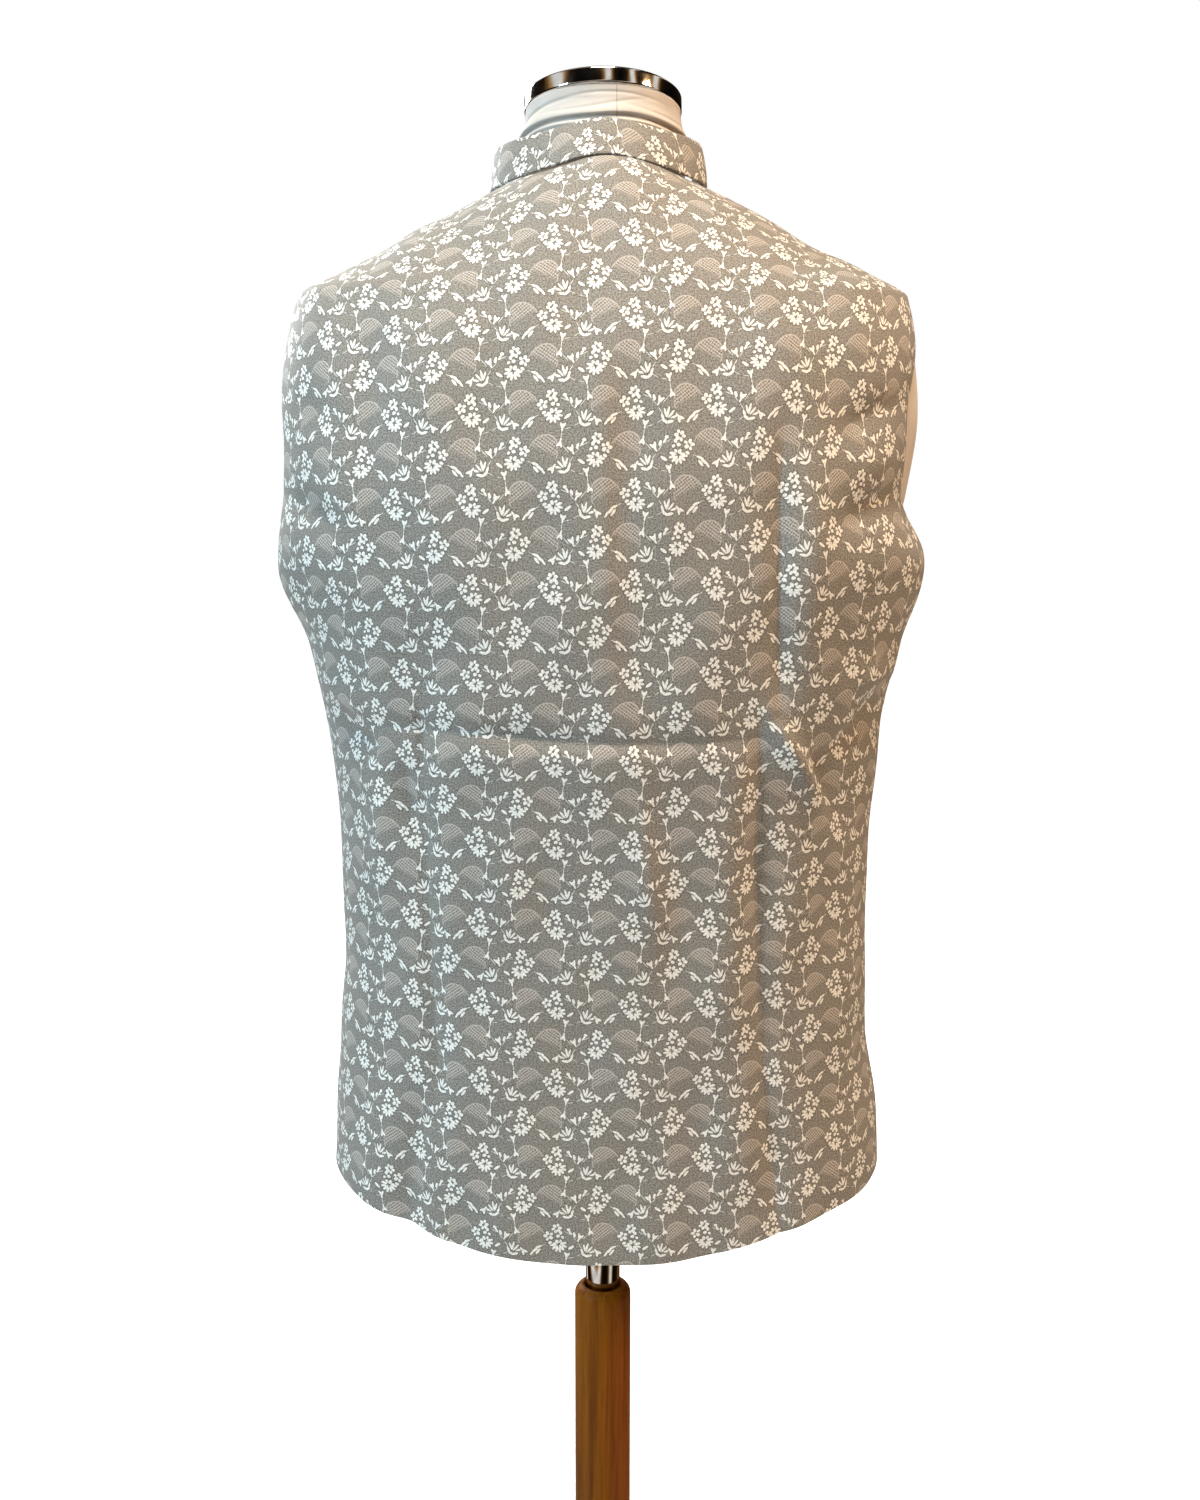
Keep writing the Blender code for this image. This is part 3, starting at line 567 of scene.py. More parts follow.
def rowShapes(shapes):
    # the shapes that reach into one row's cell, with those of the rows above and below, turned, and of
    # the repeats beside it
    halfWidth, halfHeight = figure["repeat"] / 2, figure["pitch"] / 2
    shift = figure["shift"] * figure["repeat"]
    found = []
    for x, y, length, width, turn in shapes:
        for beside in (-2, -1, 0, 1, 2):
            for row in (-1, 0, 1):
                placeX = x if row == 0 else shift - x
                placeX += beside * figure["repeat"]
                placeY = y - row * figure["pitch"]
                angle = math.radians(turn if row == 0 else 180 - turn)
                reachX = math.hypot(length * math.cos(angle), width * math.sin(angle))
                reachY = math.hypot(length * math.sin(angle), width * math.cos(angle))
                if abs(placeX) - reachX < halfWidth and abs(placeY) - reachY < halfHeight:
                    found.append((placeX, placeY, length, width, angle))
    return found


def nearestShape(tree, u, v, shapes, faint=()):
    # smallest of the ellipses' q = (x'/a)^2 + (y'/b)^2, multiplied out into uu, uv, vv, u, v and a fixed
    # term and worked out for three ellipses at a time; the faint ones are 0.8 further off everywhere
    table = np.array([*shapes, *faint])
    x, y, long, wide, angle = table.T
    c, s = np.cos(angle), np.sin(angle)
    byUU = c**2 / long**2 + s**2 / wide**2
    byUV = 2 * c * s * (1 / long**2 - 1 / wide**2)
    byVV = s**2 / long**2 + c**2 / wide**2
    fixed = byUU * x**2 + byUV * x * y + byVV * y**2 + 0.8 * (np.arange(len(table)) >= len(shapes))
    terms = np.stack([byUU, byUV, byVV, -2 * byUU * x - byUV * y, -2 * byVV * y - byUV * x, fixed])
    terms = np.concatenate([terms, np.repeat(terms[:, -1:], -len(table) % 3, axis=1)], axis=1)
    uu = maths(tree, "MULTIPLY", u, u)
    uv = maths(tree, "MULTIPLY", u, v)
    vv = maths(tree, "MULTIPLY", v, v)
    nearest = None
    for k in range(0, terms.shape[1], 3):
        q = tuple(terms[5, k : k + 3])
        for product, factors in zip((uu, uv, vv, u, v), terms[:5, k : k + 3]):
            inputs = {0: product, 1: tuple(factors), 2: q}
            q = addNode(tree, "VectorMath", {"operation": "MULTIPLY_ADD"}, inputs)
        if nearest is not None:
            q = addNode(tree, "VectorMath", {"operation": "MINIMUM"}, {0: q, 1: nearest})
        nearest = q
    parts = addNode(tree, "SeparateXYZ", None, {0: nearest})
    least = maths(tree, "MINIMUM", (parts, "X"), (parts, "Y"))
    return maths(tree, "MINIMUM", least, (parts, "Z"))


def rowCoordinates(tree):
    # folds the cloth's flat coordinates into one cell: rows count upward by the pitch, every other row
    # is shifted and turned left to right
    flat = addNode(tree, "UVMap", {"uv_map": "clothMap"})
    scaled = addNode(tree, "VectorMath", {"operation": "SCALE"}, {0: flat, "Scale": 1000.0})
    parts = addNode(tree, "SeparateXYZ", None, {0: scaled})
    up = maths(tree, "DIVIDE", (parts, "Y"), figure["pitch"])
    row = maths(tree, "FLOOR", up)
    half = maths(tree, "MULTIPLY", row, 0.5)
    odd = maths(tree, "FRACT", half)  # 0 or one half
    sign = maths(tree, "MULTIPLY_ADD", odd, -4.0, 1.0)
    shift = 2 * figure["shift"] * figure["repeat"]
    across = maths(tree, "MULTIPLY_ADD", odd, -shift, (parts, "X"))
    across = maths(tree, "MULTIPLY", across, sign)
    halfRepeat = figure["repeat"] / 2
    u = maths(tree, "WRAP", across, halfRepeat, -halfRepeat)
    within = maths(tree, "FRACT", up)
    v = maths(tree, "MULTIPLY_ADD", within, figure["pitch"], -figure["pitch"] / 2)
    return scaled, u, v


jacquardLook = {
    "ground": "#9C978D",
    "groundDark": "#5C5850",
    "ivory": "#F6F4EC",
    "ivoryShade": "#CCC8BD",
    "beige": "#C2B7AB",
    # painted shade: the dark colour laid round the figures in place of the shade of their raised floats
    "outline": "#565046",
    "shellTurn": 26.0,  # degrees
    "shellMiddle": (-15.3, 0.4),  # millimetres, as the figure
    "shellHalves": (8.9, 11.6),
    "hatch": (2.2, -2.85),  # radians per millimetre, across and up
    "hatchBreaks": (3.2, 2.4),
}


def jacquard():
    # Jacquard in viscose and cotton: a matt grey-taupe ground with flowers floated in brighter ivory
    # yarn that shine a little more, painted shade round the flowers, and shells hatched in beige. Threads
    # are drawn 0.9 mm and the hatching 1.7 mm apart, where real ones are nearer 0.25 and 1.4 mm, which is too
    # fine to show.
    look = jacquardLook
    settings = {"Sheen Weight": 0.12, "Sheen Roughness": 0.4, "Specular IOR Level": 0.35}
    made, tree, shader = newMaterial("wovenJacquard", settings)
    scaled, u, v = rowCoordinates(tree)
    nearest = nearestShape(tree, u, v, rowShapes(figureShapes()), rowShapes(figureStems()))
    # the figure's edge wanders by a thread or so
    grit = clothNoise(tree, scaled, {"Scale": 1.1, "Detail": 1.0})
    wander = maths(tree, "MULTIPLY_ADD", (grit, "Fac"), 0.8, -0.4)
    edge = maths(tree, "ADD", nearest, wander)
    ivory = fade(tree, edge, 0.90, 1.5, 1.0, 0.0)
    # painted shade: a dark band just outside each flower, leaf and stem, darkest at its edge, standing in for
    # the shade of the raised floats
    rim = fade(tree, nearest, 1.4, 3.4, 0.75, 0.0)

    # the shell: half of a turned ellipse in outline, plain at its foot, hatched in rows of dashes above
    turn = math.radians(look["shellTurn"])
    c, s = math.cos(turn), math.sin(turn)
    (x, y), (wide, tall) = look["shellMiddle"], look["shellHalves"]
    point = addNode(tree, "CombineXYZ", None, {0: u, 1: v, 2: 1.0})
    one = (c / wide, s / wide, -(c * x + s * y) / wide)
    two = (-s / tall, c / tall, (s * x - c * y) / tall)
    across = dot(tree, point, one)
    upward = dot(tree, point, two)
    both = addNode(tree, "CombineXYZ", None, {0: (across, "Value"), 1: (upward, "Value")})
    far = addNode(tree, "VectorMath", {"operation": "LENGTH"}, {0: both})
    inside = fade(tree, (far, "Value"), 0.93, 1.02, 1.0, 0.0)
    above = fade(tree, (upward, "Value"), 0.02, 0.30)
    foot = fade(tree, (upward, "Value"), -0.08, 0.06)
    hatch = dot(tree, point, (*look["hatch"], 0.0))
    dashes = maths(tree, "SINE", (hatch, "Value"))
    broken = dot(tree, point, (*look["hatchBreaks"], 0.0))
    breaks = maths(tree, "SINE", (broken, "Value"))
    dashed = maths(tree, "MULTIPLY_ADD", breaks, 0.8, dashes)
    dashed = maths(tree, "MULTIPLY_ADD", wander, 2.2, dashed)
    dash = fade(tree, dashed, -0.1, 0.7, 0.0, 0.9)
    shell = maths(tree, "MULTIPLY", inside, above)
    shell = maths(tree, "MULTIPLY", shell, dash)
    arcLine = maths(tree, "COMPARE", (far, "Value"), 0.98, 0.035)
    arcPart = maths(tree, "MULTIPLY", arcLine, foot)
    arcPart = maths(tree, "MULTIPLY", arcPart, 0.75)
    shell = maths(tree, "MAXIMUM", shell, arcPart)

    # ground, with the mottle of the weave
    threads = clothNoise(tree, scaled, {"Scale": 1.0, "Detail": 3.0, "Roughness": 0.8})
    mottle = addNode(tree, "MapRange", None, {0: (threads, "Fac"), 1: 0.38, 2: 0.62})
    ground = blend(tree, mottle, look["groundDark"], look["ground"])
    ground = blend(tree, shell, (ground, 2), look["beige"])
    # the painted shade round the figures goes over the ground here
    ground = blend(tree, rim, (ground, 2), look["outline"])
    yarn = blend(tree, mottle, look["ivoryShade"], look["ivory"])
    colour = blend(tree, ivory, (ground, 2), (yarn, 2))
    tree.links.new(colour.outputs[2], shader.inputs["Base Color"])
    shine = addNode(tree, "MapRange", None, {0: ivory, 3: 0.70, 4: 0.48})
    tree.links.new(shine.outputs[0], shader.inputs["Roughness"])

    # weave in relief: warp and weft as two waves, 0.9 mm apart
    wave = {"Vector": scaled, "Scale": 0.35, "Distortion": 0.6}
    warp = addNode(tree, "TexWave", {"bands_direction": "X"}, wave)
    weft = addNode(tree, "TexWave", {"bands_direction": "Y"}, wave)
    weave = maths(tree, "ADD", (warp, "Fac"), (weft, "Fac"))
    relief = addNode(tree, "Bump", None, {"Strength": 0.4, "Distance": 0.0003, "Height": weave})
    tree.links.new(relief.outputs[0], shader.inputs["Normal"])
    return made


def jersey():
    # Cotton jersey stretched over the form: cream, matt and soft, with a knit grain drawn about 1.1 mm
    # wide and a faint cloudiness from handling.
    settings = {"Roughness": 0.85, "Sheen Weight": 0.1, "Sheen Roughness": 0.5, "Specular IOR Level": 0.25}
    made, tree, shader = newMaterial("creamJersey", settings)
    place = addNode(tree, "TexCoord")
    cloud = addNode(tree, "TexNoise", None, {"Vector": (place, "Object"), "Scale": 22.0, "Detail": 3.0})
    tone = addRamp(tree, (cloud, "Fac"), ((0.3, "#B3AAA0"), (0.7, "#C6BFB5")))
    # one closing seam down the back, a little off the middle
    parts = addNode(tree, "SeparateXYZ", None, {0: (place, "Object")})
    line = maths(tree, "COMPARE", (parts, "X"), -0.0085, 0.0004)
    behind = maths(tree, "GREATER_THAN", (parts, "Y"), 0.0)
    seam = maths(tree, "MULTIPLY", line, behind)
    seam = maths(tree, "MULTIPLY", seam, 0.6)
    colour = blend(tree, seam, tone, "#8F857A")
    tree.links.new(colour.outputs[2], shader.inputs["Base Color"])
    knit = addNode(tree, "TexNoise", None, {"Vector": (place, "Object"), "Scale": 900.0, "Detail": 1.0})
    relief = addNode(tree, "Bump", None, {"Strength": 0.25, "Distance": 0.0003, "Height": (knit, "Fac")})
    tree.links.new(relief.outputs[0], shader.inputs["Normal"])
    return made


def chrome():
    # Chrome plate on brass, buffed: a clear mirror that is slightly smoky, with faint wiping marks.
    made, tree, shader = newMaterial("chromePlate", {"Metallic": 1.0})
    place = addNode(tree, "TexCoord")
    marks = addNode(tree, "TexNoise", None, {"Vector": (place, "Object"), "Scale": 160.0, "Detail": 4.0})
    gloss = addNode(tree, "MapRange", None, {0: (marks, "Fac"), 1: 0.3, 2: 0.8, 3: 0.04, 4: 0.14})
    tree.links.new(gloss.outputs[0], shader.inputs["Roughness"])
    tone = addRamp(tree, (marks, "Fac"), ((0.35, "#D9D8D6"), (0.75, "#C2C0BE")))
    tree.links.new(tone.outputs[0], shader.inputs["Base Color"])
    return made


def varnishedWood(name, long):
    # Turned beech under orange-brown varnish: grain drawn out along one axis, fine pores, a thin coat.
    # The grain's streaks are 4 mm and its pores 1 mm wide.
    settings = {"Roughness": 0.6, "Specular IOR Level": 0.1, "Coat Weight": 0.03, "Coat Roughness": 0.2}
    made, tree, shader = newMaterial(name, settings)
    place = addNode(tree, "TexCoord")
    stretch = tuple(7.0 if axis == long else 240.0 for axis in "XYZ")
    drawn = addNode(tree, "Mapping", None, {"Vector": (place, "Object"), "Scale": stretch})
    streaks = {"Vector": drawn, "Scale": 1.0, "Detail": 6.0, "Roughness": 0.62, "Distortion": 0.5}
    grain = addNode(tree, "TexNoise", None, streaks)
    tone = addRamp(tree, (grain, "Fac"), ((0.28, "#5C2C00"), (0.5, "#7B4300"), (0.72, "#8B5000")))
    stretch = tuple(28.0 if axis == long else 840.0 for axis in "XYZ")
    drawn = addNode(tree, "Mapping", None, {"Vector": (place, "Object"), "Scale": stretch})
    pores = addNode(tree, "TexNoise", None, {"Vector": drawn, "Scale": 1.0, "Detail": 2.0})
    dark = addNode(tree, "MapRange", None, {0: (pores, "Fac"), 1: 0.60, 2: 0.72, 3: 0.0, 4: 0.5})
    colour = blend(tree, dark, tone, "#3C1F04")
    tree.links.new(colour.outputs[2], shader.inputs["Base Color"])
    relief = addNode(tree, "Bump", None, {"Strength": 0.15, "Distance": 0.0004, "Height": (pores, "Fac")})
    tree.links.new(relief.outputs[0], shader.inputs["Normal"])
    return made


def horn():
    # Polyester button cast to look like horn: grey-brown streaks under a polished face.
    settings = {"Roughness": 0.28, "Coat Weight": 0.3, "Coat Roughness": 0.1}
    made, tree, shader = newMaterial("hornPolyester", settings)
    place = addNode(tree, "TexCoord")
    slant = {"Vector": (place, "Object"), "Scale": (260.0, 260.0, 70.0), "Rotation": (0.2, 0.5, 0.3)}
    long = addNode(tree, "Mapping", None, slant)
    streak = addNode(tree, "TexNoise", None, {"Vector": long, "Scale": 1.0, "Detail": 4.0, "Distortion": 1.2})
    tone = addRamp(tree, (streak, "Fac"), ((0.3, "#4A433B"), (0.55, "#7B7163"), (0.8, "#A89D8C")))
    tree.links.new(tone.outputs[0], shader.inputs["Base Color"])
    return made


def sewingThread():
    # Spun polyester thread in the ground's colour: matt, with the twist of its two plies.
    made, tree, shader = newMaterial("spunThread", {"Roughness": 0.75, "Sheen Weight": 0.2})
    place = addNode(tree, "TexCoord")
    ply = addNode(tree, "TexNoise", None, {"Vector": (place, "Object"), "Scale": 2400.0})
    tone = addRamp(tree, (ply, "Fac"), ((0.35, "#59534A"), (0.7, "#7F786C")))
    tree.links.new(tone.outputs[0], shader.inputs["Base Color"])
    return made


finishes = {
    "jacquard": jacquard(),
    "jersey": jersey(),
    "chrome": chrome(),
    "poleWood": varnishedWood("varnishedBeechPole", "Z"),
    "footWood": varnishedWood("varnishedBeechFoot", "X"),
    "button": horn(),
    "thread": sewingThread(),
}
print("materials made")


grain = {
    "tilt": ((0.30, 0.0), (0.36, 0.010), (0.44, 0.027), (0.52, 0.040), (0.64, 0.050)),  # rise to the right
}
arcAngles = np.linspace(-math.pi, math.pi, 721)
arcHeights = np.linspace(-0.03, 0.712, 300)


def arcTables():
    # lengths along the smooth face: round it from the first angle at each height, and up it from the
    # first height at each angle
    points = jacketPoint(*np.meshgrid(arcAngles, arcHeights))
    roundStep = np.linalg.norm(np.diff(points, axis=1), axis=-1)
    upStep = np.linalg.norm(np.diff(points, axis=0), axis=-1)
    across = np.concatenate([np.zeros((len(arcHeights), 1)), np.cumsum(roundStep, axis=1)], axis=1)
    upward = np.concatenate([np.zeros((1, len(arcAngles))), np.cumsum(upStep, axis=0)], axis=0)
    return across, upward


def lookUp(table, angle, height):
    # bilinear reading of a table over angles and heights
    column = (angle - arcAngles[0]) / (arcAngles[1] - arcAngles[0])
    row = (height - arcHeights[0]) / (arcHeights[1] - arcHeights[0])
    k = np.clip(column.astype(int), 0, len(arcAngles) - 2)
    j = np.clip(row.astype(int), 0, len(arcHeights) - 2)
    s, t = column - k, row - j
    low = table[j, k] * (1 - s) + table[j, k + 1] * s
    high = table[j + 1, k] * (1 - s) + table[j + 1, k + 1] * s
    return low * (1 - t) + high * t


arcAcross, arcUpward = arcTables()


def flatMap(angle, height, centre):
    # across: length round the section from the centre line; up: length up the face from the waist, less
    # the grain's tilt
    middle = np.full_like(angle, centre)
    waist = np.full_like(angle, 0.30)
    across = lookUp(arcAcross, angle, height) - lookUp(arcAcross, middle, height)
    up = lookUp(arcUpward, angle, height) - lookUp(arcUpward, angle, waist) + 0.30
    tilt = np.interp(height, [row[0] for row in grain["tilt"]], [row[1] for row in grain["tilt"]])
    up = up - tilt * across
    start = figure["start"]
    return np.stack([across - start[0], up - start[1] + figure["pitch"] / 2000], axis=-1)


panelMesh = {
    "lowerRows": 118,
    "armholeRows": 62,
    "shoulderRows": 28,
    "backColumns": 196,
    "frontColumns": 110,
    "denseRows": ((0.78,), 0.06, 1.6),  # where, how far and how much closer the lines lie
    "backDense": ((0.268, 0.722), 0.045, 1.5),
    "frontDense": ((0.45,), 0.2, 0.4),
    "borderSteps": (0.0, 0.15, 0.4, 0.7, 1.05),  # millimetres in from each border
}


def withBorder(shares, length):
    # adds the close steps at both ends of a run of shares
    near = np.array(panelMesh["borderSteps"]) / 1000 / length
    kept = shares[(shares > near[-1] * 1.3) & (shares < 1 - near[-1] * 1.3)]
    return np.concatenate([near, kept, 1 - near[::-1]])


def denser(count, dense):
    # shares from 0 to 1 whose density is 1 + gain * exp(-((s - middle) / reach)^2) round each middle
    middles, reach, gain = dense
    fine = np.linspace(0, 1, 2001)
    density = 1 + gain * sum(np.exp(-(((fine - middle) / reach) ** 2)) for middle in middles)
    total = np.concatenate([[0], np.cumsum((density[1:] + density[:-1]) / 2)])
    return np.interp(np.linspace(0, 1, count), total / total[-1], fine)


def rowShares():
    # closer at the waist line and at both ends of the armhole
    low, high = jacketShape["hemRise"], float(neckHeight(0.0))
    underarm = (jacketShape["underarm"] - low) / (high - low)
    tip = (jacketShape["shoulderTip"] - low) / (high - low)
    lower = underarm * denser(panelMesh["lowerRows"] + 1, panelMesh["denseRows"])
    turn = np.linspace(0, math.pi, panelMesh["armholeRows"] + 1)
    armhole = underarm + (tip - underarm) * (1 - np.cos(turn)) / 2
    upper = np.linspace(tip, 1, panelMesh["shoulderRows"] + 1)
    return withBorder(np.concatenate([lower, armhole[1:], upper[1:]]), high - low), underarm, tip


def sideAngle(share, face, side, underarm, tip):
    # half a seam from the side line below the underarm, then round the armhole: its half opening is
    # reach * sin(pi * rise^skew)^fullness
    turn = 1 if face == "back" else -1
    rise = np.clip((share - underarm) / (tip - underarm), 0, 1)
    swing = np.sin(math.pi * rise ** jacketShape["armholeSkew"]) ** jacketShape["armholeFullness"]
    opening = jacketShape["armholeReach"][face] * swing + jacketShape["seamGap"] / 2
    offset = np.zeros_like(share)
    for _ in range(14):
        angle = turn * (offset if side == "left" else math.pi - offset)
        radius = sectionRadius(jacketShape, angle, heightAt(angle, share))
        offset = np.arcsin(np.clip(opening / radius, -1, 1))
    return turn * (offset if side == "left" else math.pi - offset)


def centreAngle(share, x):
    # angle at which the front reaches x, near centre front
    angle = np.full_like(share, -math.pi / 2)
    for _ in range(6):
        radius = sectionRadius(jacketShape, angle, heightAt(angle, share))
        angle = -math.pi / 2 + np.arcsin(x / radius)
    return angle


def lapDrop(angle, height):
    # the right front goes under the left one along an eased step
    x = jacketPoint(angle, height)[..., 0]
    start, end = jacketShape["lapEase"]
    return jacketShape["lapDrop"] * eased((x - start) / (end - start))


def borderDistance(points):
    # distance of each grid point from the nearest border, measured along its row and its column
    along = np.linalg.norm(np.diff(points, axis=1), axis=-1)
    along = np.concatenate([np.zeros((len(points), 1)), np.cumsum(along, axis=1)], axis=1)
    up = np.linalg.norm(np.diff(points, axis=0), axis=-1)
    up = np.concatenate([np.zeros((1, points.shape[1])), np.cumsum(up, axis=0)], axis=0)
    beside = np.minimum(along, along[:, -1:] - along)
    ends = np.minimum(up, up[-1:] - up)
    return np.minimum(beside, ends)


def rolledEdge(distance, thickness, radius):
    # how far each face goes in near a border: half the cloth times 1 - sqrt(1 - (1 - d/r)^2)
    short = np.clip(1 - distance / radius, 0, 1)
    return thickness / 2 * (1 - np.sqrt(1 - short**2))


def clothFaces(angle, height, drop):
    # outer and inner faces: the smooth face less creases and drop, kept clear of the form below the
    # shoulders, with rounded borders
    cloth = jacketShape["cloth"]
    smooth = jacketPoint(angle, height)
    normal = outwardNormal(angle, height)
    outer = smooth - normal * (creaseDepth(smooth) + drop)[..., None]
    turn = np.arctan2(outer[..., 1], outer[..., 0])
    radius = np.hypot(outer[..., 0], outer[..., 1])
    least = formRadius(turn, outer[..., 2]) + cloth + 0.0008
    low = (outer[..., 2] < 0.58) & (outer[..., 2] > formShape["bottom"] - 0.01)
    wider = np.where(low & (radius < least), least / radius, 1.0)
    outer[..., :2] *= wider[..., None]
    roll = rolledEdge(borderDistance(smooth), cloth, jacketShape["edgeRadius"])[..., None]
    inner = outer - normal * (cloth - roll)
    outer = outer - normal * roll
    lift = np.array([0, 0, hemFloor])
    return outer + lift, inner + lift


def addPanel(name, first, last, columns, width, shares, centre, drop=None):
    # a panel between two edges given as angles, row by row
    across = withBorder(columns, width)
    angle = first[:, None] + (last - first)[:, None] * across
    height = heightAt(angle, np.broadcast_to(shares[:, None], angle.shape))
    lowered = np.zeros_like(angle) if drop is None else drop(angle, height)
    outer, inner = clothFaces(angle, height, lowered)
    piece = addWall(name, outer, inner, flatMap(angle, height, centre), finishes["jacquard"])
    quads = np.linalg.norm(np.cross(np.diff(outer, axis=1)[:-1], np.diff(outer, axis=0)[:, :-1]), axis=-1)
    rowLength = np.linalg.norm(np.diff(outer, axis=1), axis=-1).sum(axis=1).max()
    columnLength = np.linalg.norm(np.diff(outer, axis=0), axis=-1).sum(axis=0).max()
    measures = [round(float(value), 3) for value in (rowLength, columnLength, quads.sum())]
    print(name, "longest row, longest column and area", *measures)
    return piece


shares, underarm, tip = rowShares()
edges = {
    (face, side): sideAngle(shares, face, side, underarm, tip)
    for face in ("back", "front")
    for side in ("left", "right")
}
halfTurn = math.pi / 2
backColumns = denser(panelMesh["backColumns"] + 1, panelMesh["backDense"])
frontColumns = denser(panelMesh["frontColumns"] + 1, panelMesh["frontDense"])
backEdges = edges["back", "left"], edges["back", "right"]
backPanel = addPanel("backPanel", *backEdges, backColumns, 0.44, shares, halfTurn)
lapEdge = centreAngle(shares, -jacketShape["lap"])
underLapEdge = centreAngle(shares, jacketShape["lap"])
leftFront = addPanel("leftFront", lapEdge, edges["front", "left"], frontColumns, 0.23, shares, -halfTurn)
rightEdges = edges["front", "right"], underLapEdge
rightFront = addPanel("rightFront", *rightEdges, frontColumns, 0.23, shares, -halfTurn, lapDrop)
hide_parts("jacket_back")
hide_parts("jacket_front_left")
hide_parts("jacket_front_right")
print("panels made")


collarShape = {
    "height": 0.0275,
    "leanFront": 0.15,
    "leanBack": 0.55,
    "proud": 0.0008,
    "lift": 0.0007,
    "cloth": 0.0030,
    "endGap": 0.0030,
    "corner": 0.020,
    "edgeRadius": 0.0014,
    "columns": 300,
    "rows": 15,
    "waver": 0.0004,
}


def addCollar():
    # a band on the neckline: height rise and lean inward, both growing upward, its front corners
    # quarter circles
    look = collarShape
    end = math.asin(look["endGap"] / jacketShape["neckHalfDepth"])
    corner = look["corner"] / jacketShape["neckHalfDepth"]
    near = end + corner * (1 - np.cos(np.linspace(0, halfTurn, 22)))
    middle = np.linspace(near[-1], 2 * math.pi - near[-1], look["columns"] + 1)
    turned = np.concatenate([near[:-1], middle, 2 * math.pi - near[-2::-1]])
    angle = turned - halfTurn
    wrapped = np.where(angle > math.pi, angle - 2 * math.pi, angle)
    base = jacketPoint(wrapped, neckHeight(wrapped))
    fromEnd = np.minimum(turned, 2 * math.pi - turned) - end
    inset = np.clip(1 - fromEnd / corner, 0, 1)
    tall = look["height"] - look["corner"] * (1 - np.sqrt(1 - inset**2))
    outward = base - np.array([*jacketShape["neckCentre"], 0])
    outward[..., 2] = 0
    outward /= np.linalg.norm(outward, axis=-1, keepdims=True)
    share = withBorder(np.linspace(0, 1, look["rows"]), look["height"])[:, None]
    behind = np.clip(np.sin(wrapped), 0, 1) ** 2
    lean = look["leanFront"] + (look["leanBack"] - look["leanFront"]) * behind
    rise = share * tall / np.sqrt(1 + lean**2)
    wave = look["waver"] * np.sin(7 * turned + 0.6) * np.sin(math.pi * share)
    out = look["proud"] - lean * rise + wave + 0.0006 * np.sin(math.pi * share)
    up = np.array([0, 0, 1.0])
    lift = np.array([0, 0, hemFloor])
    outer = base + outward * out[..., None] + up * (look["lift"] + rise)[..., None] + lift
    inner = outer - outward * look["cloth"]
    roll = rolledEdge(borderDistance(outer), look["cloth"], look["edgeRadius"])[..., None]
    arc = np.concatenate([[0.0], np.cumsum(np.linalg.norm(np.diff(base, axis=0), axis=-1))])
    flatX = np.broadcast_to(arc - arc[len(arc) // 2] + 0.012, share.shape[:1] + arc.shape)
    flatY = np.broadcast_to(share * tall + 0.004, flatX.shape)
    flat = np.stack([flatX, flatY], axis=-1)
    piece = addWall("standCollar", outer - outward * roll, inner + outward * roll, flat, finishes["jacquard"])
    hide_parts("collar")
    print("collar length", round(float(arc[-1]), 4))
    return piece


collar = addCollar()


buttonShape = {
    "heights": (0.596, 0.486, 0.376, 0.266, 0.156),
    "radius": 0.0078,
    "thickness": 0.0038,
    "clearance": 0.0006,
    "rim": 0.0011,
    # from the rim to the middle, shares of the radius and of the thickness
    "dish": ((0.74, 0.86), (0.64, 0.66), (0.5, 0.60), (0.25, 0.58), (0, 0.58)),
    "holeReach": 0.0017,  # from the middle to where each stitch goes down
}


def buttonFrame(height):
    # the point of the left front under a button, and the directions right, up and out there
    angle, level = np.array([-halfTurn]), np.array([height])
    smooth = jacketPoint(angle, level)
    out = outwardNormal(angle, level)[0]
    point = smooth[0] - out * creaseDepth(smooth)[0] + np.array([0, 0, hemFloor])
    right = np.cross(np.array([0, 0, 1.0]), out)
    right /= np.linalg.norm(right)
    return point, np.stack([right, np.cross(out, right), out], axis=1)


def addButton(number, height):
    # a turned disc with a raised rim and a dished middle, where the cross of thread hides its holes
    look = buttonShape
    point, axes = buttonFrame(height)
    r, t, rim = look["radius"], look["thickness"], look["rim"]
    profile = [(0, 0), (0.62 * r, 0)] + roundEdge((r - rim, rim), rim, -80, 0, 5)
    profile += roundEdge((r - rim, 0.72 * t), rim, 0, 100, 7)
    profile += [(share * r, level * t) for share, level in look["dish"]]
    place = point + axes[:, 2] * look["clearance"]
    piece = addLathe(f"frontButton{number}", profile, finishes["button"], 64, axes, place)
    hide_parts(f"button_{number}")


stitchShape = {
    "thread": 0.00036,
    "threadRise": 0.0005,
    "holeStart": -0.0035,  # buttonhole, across from centre front
    "holeEnd": 0.0165,
    "holeHalf": 0.0011,
    "purl": 0.00046,
    "stitch": 0.0009,
    "sunk": 0.0001,
}


